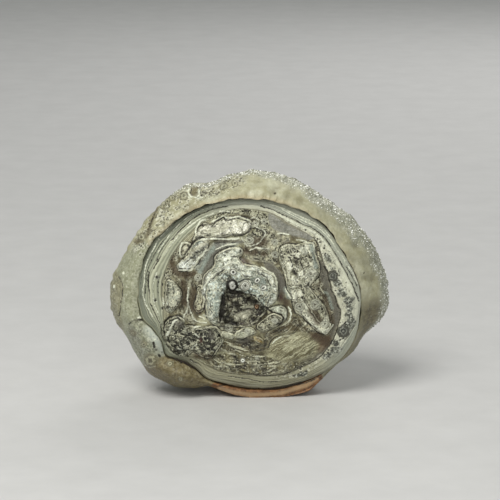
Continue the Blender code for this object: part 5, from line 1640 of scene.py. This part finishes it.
def rim_material():
    """The waxy hood, the lobes and the ruffled back."""
    paint = Paint("waxy_rim")
    fine = paint.noise(0.7, 4.0, 0.7, 15.0)
    grain = paint.span(fine, 0.36, 0.64)
    colour, shares = hood_colour(paint, grain)
    colour = back_colour(paint, colour, grain)
    # Painted highlight on the upper lobe
    colour = paint.mix(paint.times(paint.field("glow"), 0.8), colour, (206, 214, 208))
    speckled = paint.field("speckled")
    marks = [paint.times(speckled, share) for share in HOOD_MARKS]
    shares = [paint.math("MAXIMUM", own, share) for own, share in zip(marks, shares)]
    colour, marks = grain_marks(paint, colour, shares, 1.15)
    wobble = paint.ragged(0.9, 1.0, 23.0, rough=0.5)
    colour = draw_strokes(paint, colour, ("olive", "tan", "white", "dark"), wobble)
    colour = draw_orb(paint, colour, "orb_rim", RIM_ORB_LOOK, paint.ragged(0.6, RIM_ORB_LOOK.uneven, 81.0))
    # Painted shade: the relief's low places, the petals' crevices and the bottom of the crevice under the
    # hood are darkened
    recess_shade = paint.times(paint.span(paint.field("raised"), 0.0, -0.30), 0.5)
    crevice = paint.times(paint.field("crevice"), 0.75)
    dark = ((recess_shade, (78, 68, 48)), (crevice, (112, 84, 54)), (paint.field("gap"), (46, 37, 26)))
    for share, tone in dark:
        colour = paint.mix(share, colour, tone)
    height = paint.plus(marks, paint.times(fine, 1.2))
    return paint.wax(colour, paint.spread(grain, 0.32, 0.52), height, 0.10, 0.12, 0.8)


def crystal_material():
    """Small clear to milky quartz points."""
    paint = Paint("quartz_points")
    tint = paint.noise(1.6, 2.0, 0.5, 2.0)
    own = paint.cells(0.35, 3.0)[1]
    colour = paint.ramp(tint, ((0.35, (122, 123, 108)), (0.55, (146, 148, 134)), (0.7, (172, 174, 161))))
    colour = paint.mix(paint.span(own, 0.68, 0.76), colour, (252, 253, 250))
    paint.feed(paint.shader.inputs["Base Color"], colour)
    paint.feed(paint.shader.inputs["Roughness"], paint.spread(own, 0.08, 0.30))
    paint.shader.inputs["IOR"].default_value = QUARTZ_IOR
    return paint.material


# Crystals have this many sides, stand where there is at least this much crust, and keep this far
# above the ground, in millimetres. A crust has crystals at least spacing apart, at most limit of them
CRYSTAL_SIDES = 5
CRUST_NEEDED = 0.3
CRYSTAL_CLEARANCE = 0.6
Crust = namedtuple("Crust", "name spacing limit seed")
RIM_CRUST = Crust("rim_crystals", 0.34, 10800, 11)
SIDE_CRUST = Crust("side_crystals", 0.38, 6200, 12)
PETAL_CRUST = Crust("petal_crystals", 0.38, 6000, 13)
QUARTZ_IOR = 1.54


def scatter(places, wanted, spacing, seed):
    """Indices of places that are at least spacing apart, out of those wanted, in a seeded order."""
    order = np.random.default_rng(seed).permutation(np.flatnonzero(wanted))
    taken, chosen = {}, []
    for index in order:
        place = places[index]
        cell = tuple((place // spacing).astype(int))
        beside = (
            taken.get((cell[0] + i, cell[1] + j, cell[2] + k), ())
            for i in (-1, 0, 1) for j in (-1, 0, 1) for k in (-1, 0, 1)
        )
        if all(np.sum((places[other] - place) ** 2) >= spacing**2 for group in beside for other in group):
            taken.setdefault(cell, []).append(index)
            chosen.append(index)
    return np.array(chosen)


def crystal_mesh(name, places, normals, sizes, seed):
    """Five-sided quartz points that stand on the surface, as one mesh."""
    rng = np.random.default_rng(seed)
    count = len(places)
    lean = normals + rng.normal(0, 0.35, (count, 3))
    lean /= np.linalg.norm(lean, axis=1, keepdims=True)
    side = np.cross(lean, rng.normal(0, 1, (count, 3)))
    side /= np.linalg.norm(side, axis=1, keepdims=True)
    third = np.cross(lean, side)
    turn = np.arange(CRYSTAL_SIDES) * 2 * math.pi / CRYSTAL_SIDES
    ring = side[:, None] * np.cos(turn)[None, :, None] + third[:, None] * np.sin(turn)[None, :, None]
    girth = sizes[:, None, None]
    stem = (sizes * rng.uniform(-0.2, 0.2, count))[:, None, None]
    foot = places[:, None] + ring * girth * 0.95 - lean[:, None] * girth * 0.7
    shoulder = places[:, None] + ring * girth + lean[:, None] * stem
    tip = places[:, None] + lean[:, None] * (stem + girth * rng.uniform(0.6, 0.9, count)[:, None, None])
    verts = np.concatenate([foot, shoulder, tip], axis=1)
    each = np.arange(CRYSTAL_SIDES)
    ahead = (each + 1) % CRYSTAL_SIDES
    flanks = np.column_stack([each, ahead, ahead + CRYSTAL_SIDES, each + CRYSTAL_SIDES])
    top = np.full(CRYSTAL_SIDES, 2 * CRYSTAL_SIDES)
    caps = np.column_stack([each + CRYSTAL_SIDES, ahead + CRYSTAL_SIDES, top])
    start = (np.arange(count) * verts.shape[1])[:, None, None]
    faces = (flanks[None] + start).reshape(-1, 4).tolist() + (caps[None] + start).reshape(-1, 3).tolist()
    faces += (each[::-1][None] + start[:, 0]).tolist()
    mesh = bpy.data.meshes.new(name)
    mesh.from_pydata((verts.reshape(-1, 3) * MM).tolist(), [], faces)
    mesh.validate()
    return mesh


def add_piece(name, mesh, material):
    """An object that rides on the stone's body and stands for its CAD solid."""
    mesh.materials.append(material)
    piece = bpy.data.objects.new(name, mesh)
    bpy.context.scene.collection.objects.link(piece)
    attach(piece, "root")
    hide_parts("chalcedony_rose")


def add_part(stone, name, region, material):
    """One piece of the stone as a smooth mesh that carries its region's fields."""
    used, corners = np.unique(stone.cells[name], return_inverse=True)
    mesh = bpy.data.meshes.new(name)
    mesh.from_pydata((stone.points[used] * MM).tolist(), [], corners.reshape(-1, 4).tolist())
    rows = region.row[used]
    for field, values in region.fields.items():
        data = mesh.attributes.new(field, "FLOAT", "POINT").data
        data.foreach_set("value", values[rows].astype(np.float32))
    mesh.shade_smooth()
    mesh.normals_split_custom_set_from_vertices(stone.normals()[used].tolist())
    add_piece(name, mesh, material)


def add_crust(crust, region, normals, wanted, material):
    """Crystals over part of a region."""
    chosen = scatter(region.points, wanted, crust.spacing, crust.seed)[:crust.limit]
    rng = np.random.default_rng(crust.seed + 1)
    thickness = 0.45 + 0.55 * region.fields["druzy"][chosen]
    sizes = crust.spacing * rng.uniform(0.28, 0.66, len(chosen)) * thickness
    mesh = crystal_mesh(crust.name, region.points[chosen], normals[chosen], sizes, crust.seed + 2)
    add_piece(crust.name, mesh, material)


# Camera: the photo's frame is 500 x 500 pixels, in which the stone shows at this many pixels to the
# millimetre and its outline's middle, which is given in millimetres too, lies at this pixel
FRAME_PIXELS = 500
PIXELS_PER_MM = 5.59
STONE_MIDDLE_PIXEL = (251, 284.4)
OUTLINE_MIDDLE = (0.0, -6.0, 20.1)
CAMERA_RISE = math.radians(12)
CAMERA_CLIP = 10 * MM
LENS, SENSOR = 200.0, 36.0


def add_camera():
    """The camera, which looks slightly down at the banded face."""
    camera = bpy.data.objects.new("camera", bpy.data.cameras.new("camera"))
    camera.data.lens, camera.data.sensor_width, camera.data.clip_start = LENS, SENSOR, CAMERA_CLIP
    frame_width = FRAME_PIXELS / PIXELS_PER_MM * MM
    distance = frame_width * LENS / SENSOR
    raised = (STONE_MIDDLE_PIXEL[1] - FRAME_PIXELS / 2) / PIXELS_PER_MM
    across, back, up = OUTLINE_MIDDLE
    aim = Vector((across, back, up + raised / math.cos(CAMERA_RISE))) * MM
    away = Vector((0, -math.cos(CAMERA_RISE), math.sin(CAMERA_RISE)))
    camera.location = aim + away * distance
    camera.rotation_euler = away.to_track_quat("Z", "Y").to_euler()
    bpy.context.scene.collection.objects.link(camera)
    bpy.context.scene.camera = camera


# Studio lights in metres and watts, the point that they face, and the light from all sides
Light = namedtuple("Light", "name place size power tone")
LIGHTS = (
    Light("overhead", (-0.14, -0.24, 0.38), 0.22, 1.6, (1.0, 0.985, 0.91)),
    Light("behind", (0.16, 0.42, 0.30), 0.30, 0.75, (1.0, 0.98, 0.93)),
    Light("front", (0.10, -0.50, 0.20), 0.25, 0.5, (1.0, 0.99, 0.92)),
)
LIT_POINT = (0, 0, 0.02)
WORLD_TONE, WORLD_STRENGTH = (0.97, 1.0, 0.93, 1.0), 0.32
FLOOR_REACH, FLOOR_ROUGH = 4.0, 0.9


def add_light(look):
    """A square soft light that faces the stone."""
    light = bpy.data.lights.new(look.name, "AREA")
    light.shape, light.size, light.energy, light.color = "SQUARE", look.size, look.power, look.tone
    lamp = bpy.data.objects.new(look.name, light)
    lamp.location = look.place
    lamp.rotation_euler = (Vector(look.place) - Vector(LIT_POINT)).to_track_quat("Z", "Y").to_euler()
    bpy.context.scene.collection.objects.link(lamp)


def add_floor():
    """A pale, faintly mottled floor."""
    mesh = bpy.data.meshes.new("floor")
    corners = [(x * FLOOR_REACH, y * FLOOR_REACH, 0) for x, y in ((-1, -1), (1, -1), (1, 1), (-1, 1))]
    mesh.from_pydata(corners, [], [(0, 1, 2, 3)])
    floor = bpy.data.objects.new("floor", mesh)
    paint = Paint("pale_floor")
    shade = paint.ramp(paint.noise(9.0, 4.0, 0.6), ((0.3, (196, 196, 199)), (0.7, (202, 202, 205))))
    paint.feed(paint.shader.inputs["Base Color"], shade)
    paint.shader.inputs["Roughness"].default_value = FLOOR_ROUGH
    mesh.materials.append(paint.material)
    bpy.context.scene.collection.objects.link(floor)


def add_studio():
    """A pale floor under soft light."""
    world = bpy.data.worlds.new("studio")
    bpy.context.scene.world = world
    world.use_nodes = True
    inputs = world.node_tree.nodes["Background"].inputs
    inputs["Color"].default_value, inputs["Strength"].default_value = WORLD_TONE, WORLD_STRENGTH
    for look in LIGHTS:
        add_light(look)
    add_floor()


def main():
    add_camera()
    add_studio()
    bpy.context.scene.view_settings.view_transform = "Standard"
    stone, face, rim = build_stone()
    waxy, crystal = rim_material(), crystal_material()
    add_part(stone, "rose_face", face, face_material())
    add_part(stone, "rose_hood", rim, waxy)
    add_part(stone, "rose_back", rim, waxy)
    normals = stone.normals()[rim.index]
    wanted = (rim.fields["druzy"] > CRUST_NEEDED) & (rim.points[:, 2] > CRYSTAL_CLEARANCE)
    front = rim.section < SILHOUETTE_POINT + 0.5
    outer = rim.section < FIRST_PETAL_POINT + 3
    add_crust(RIM_CRUST, rim, normals, wanted & front, crystal)
    add_crust(SIDE_CRUST, rim, normals, wanted & outer & ~front, crystal)
    add_crust(PETAL_CRUST, rim, normals, wanted & ~outer, crystal)


main()
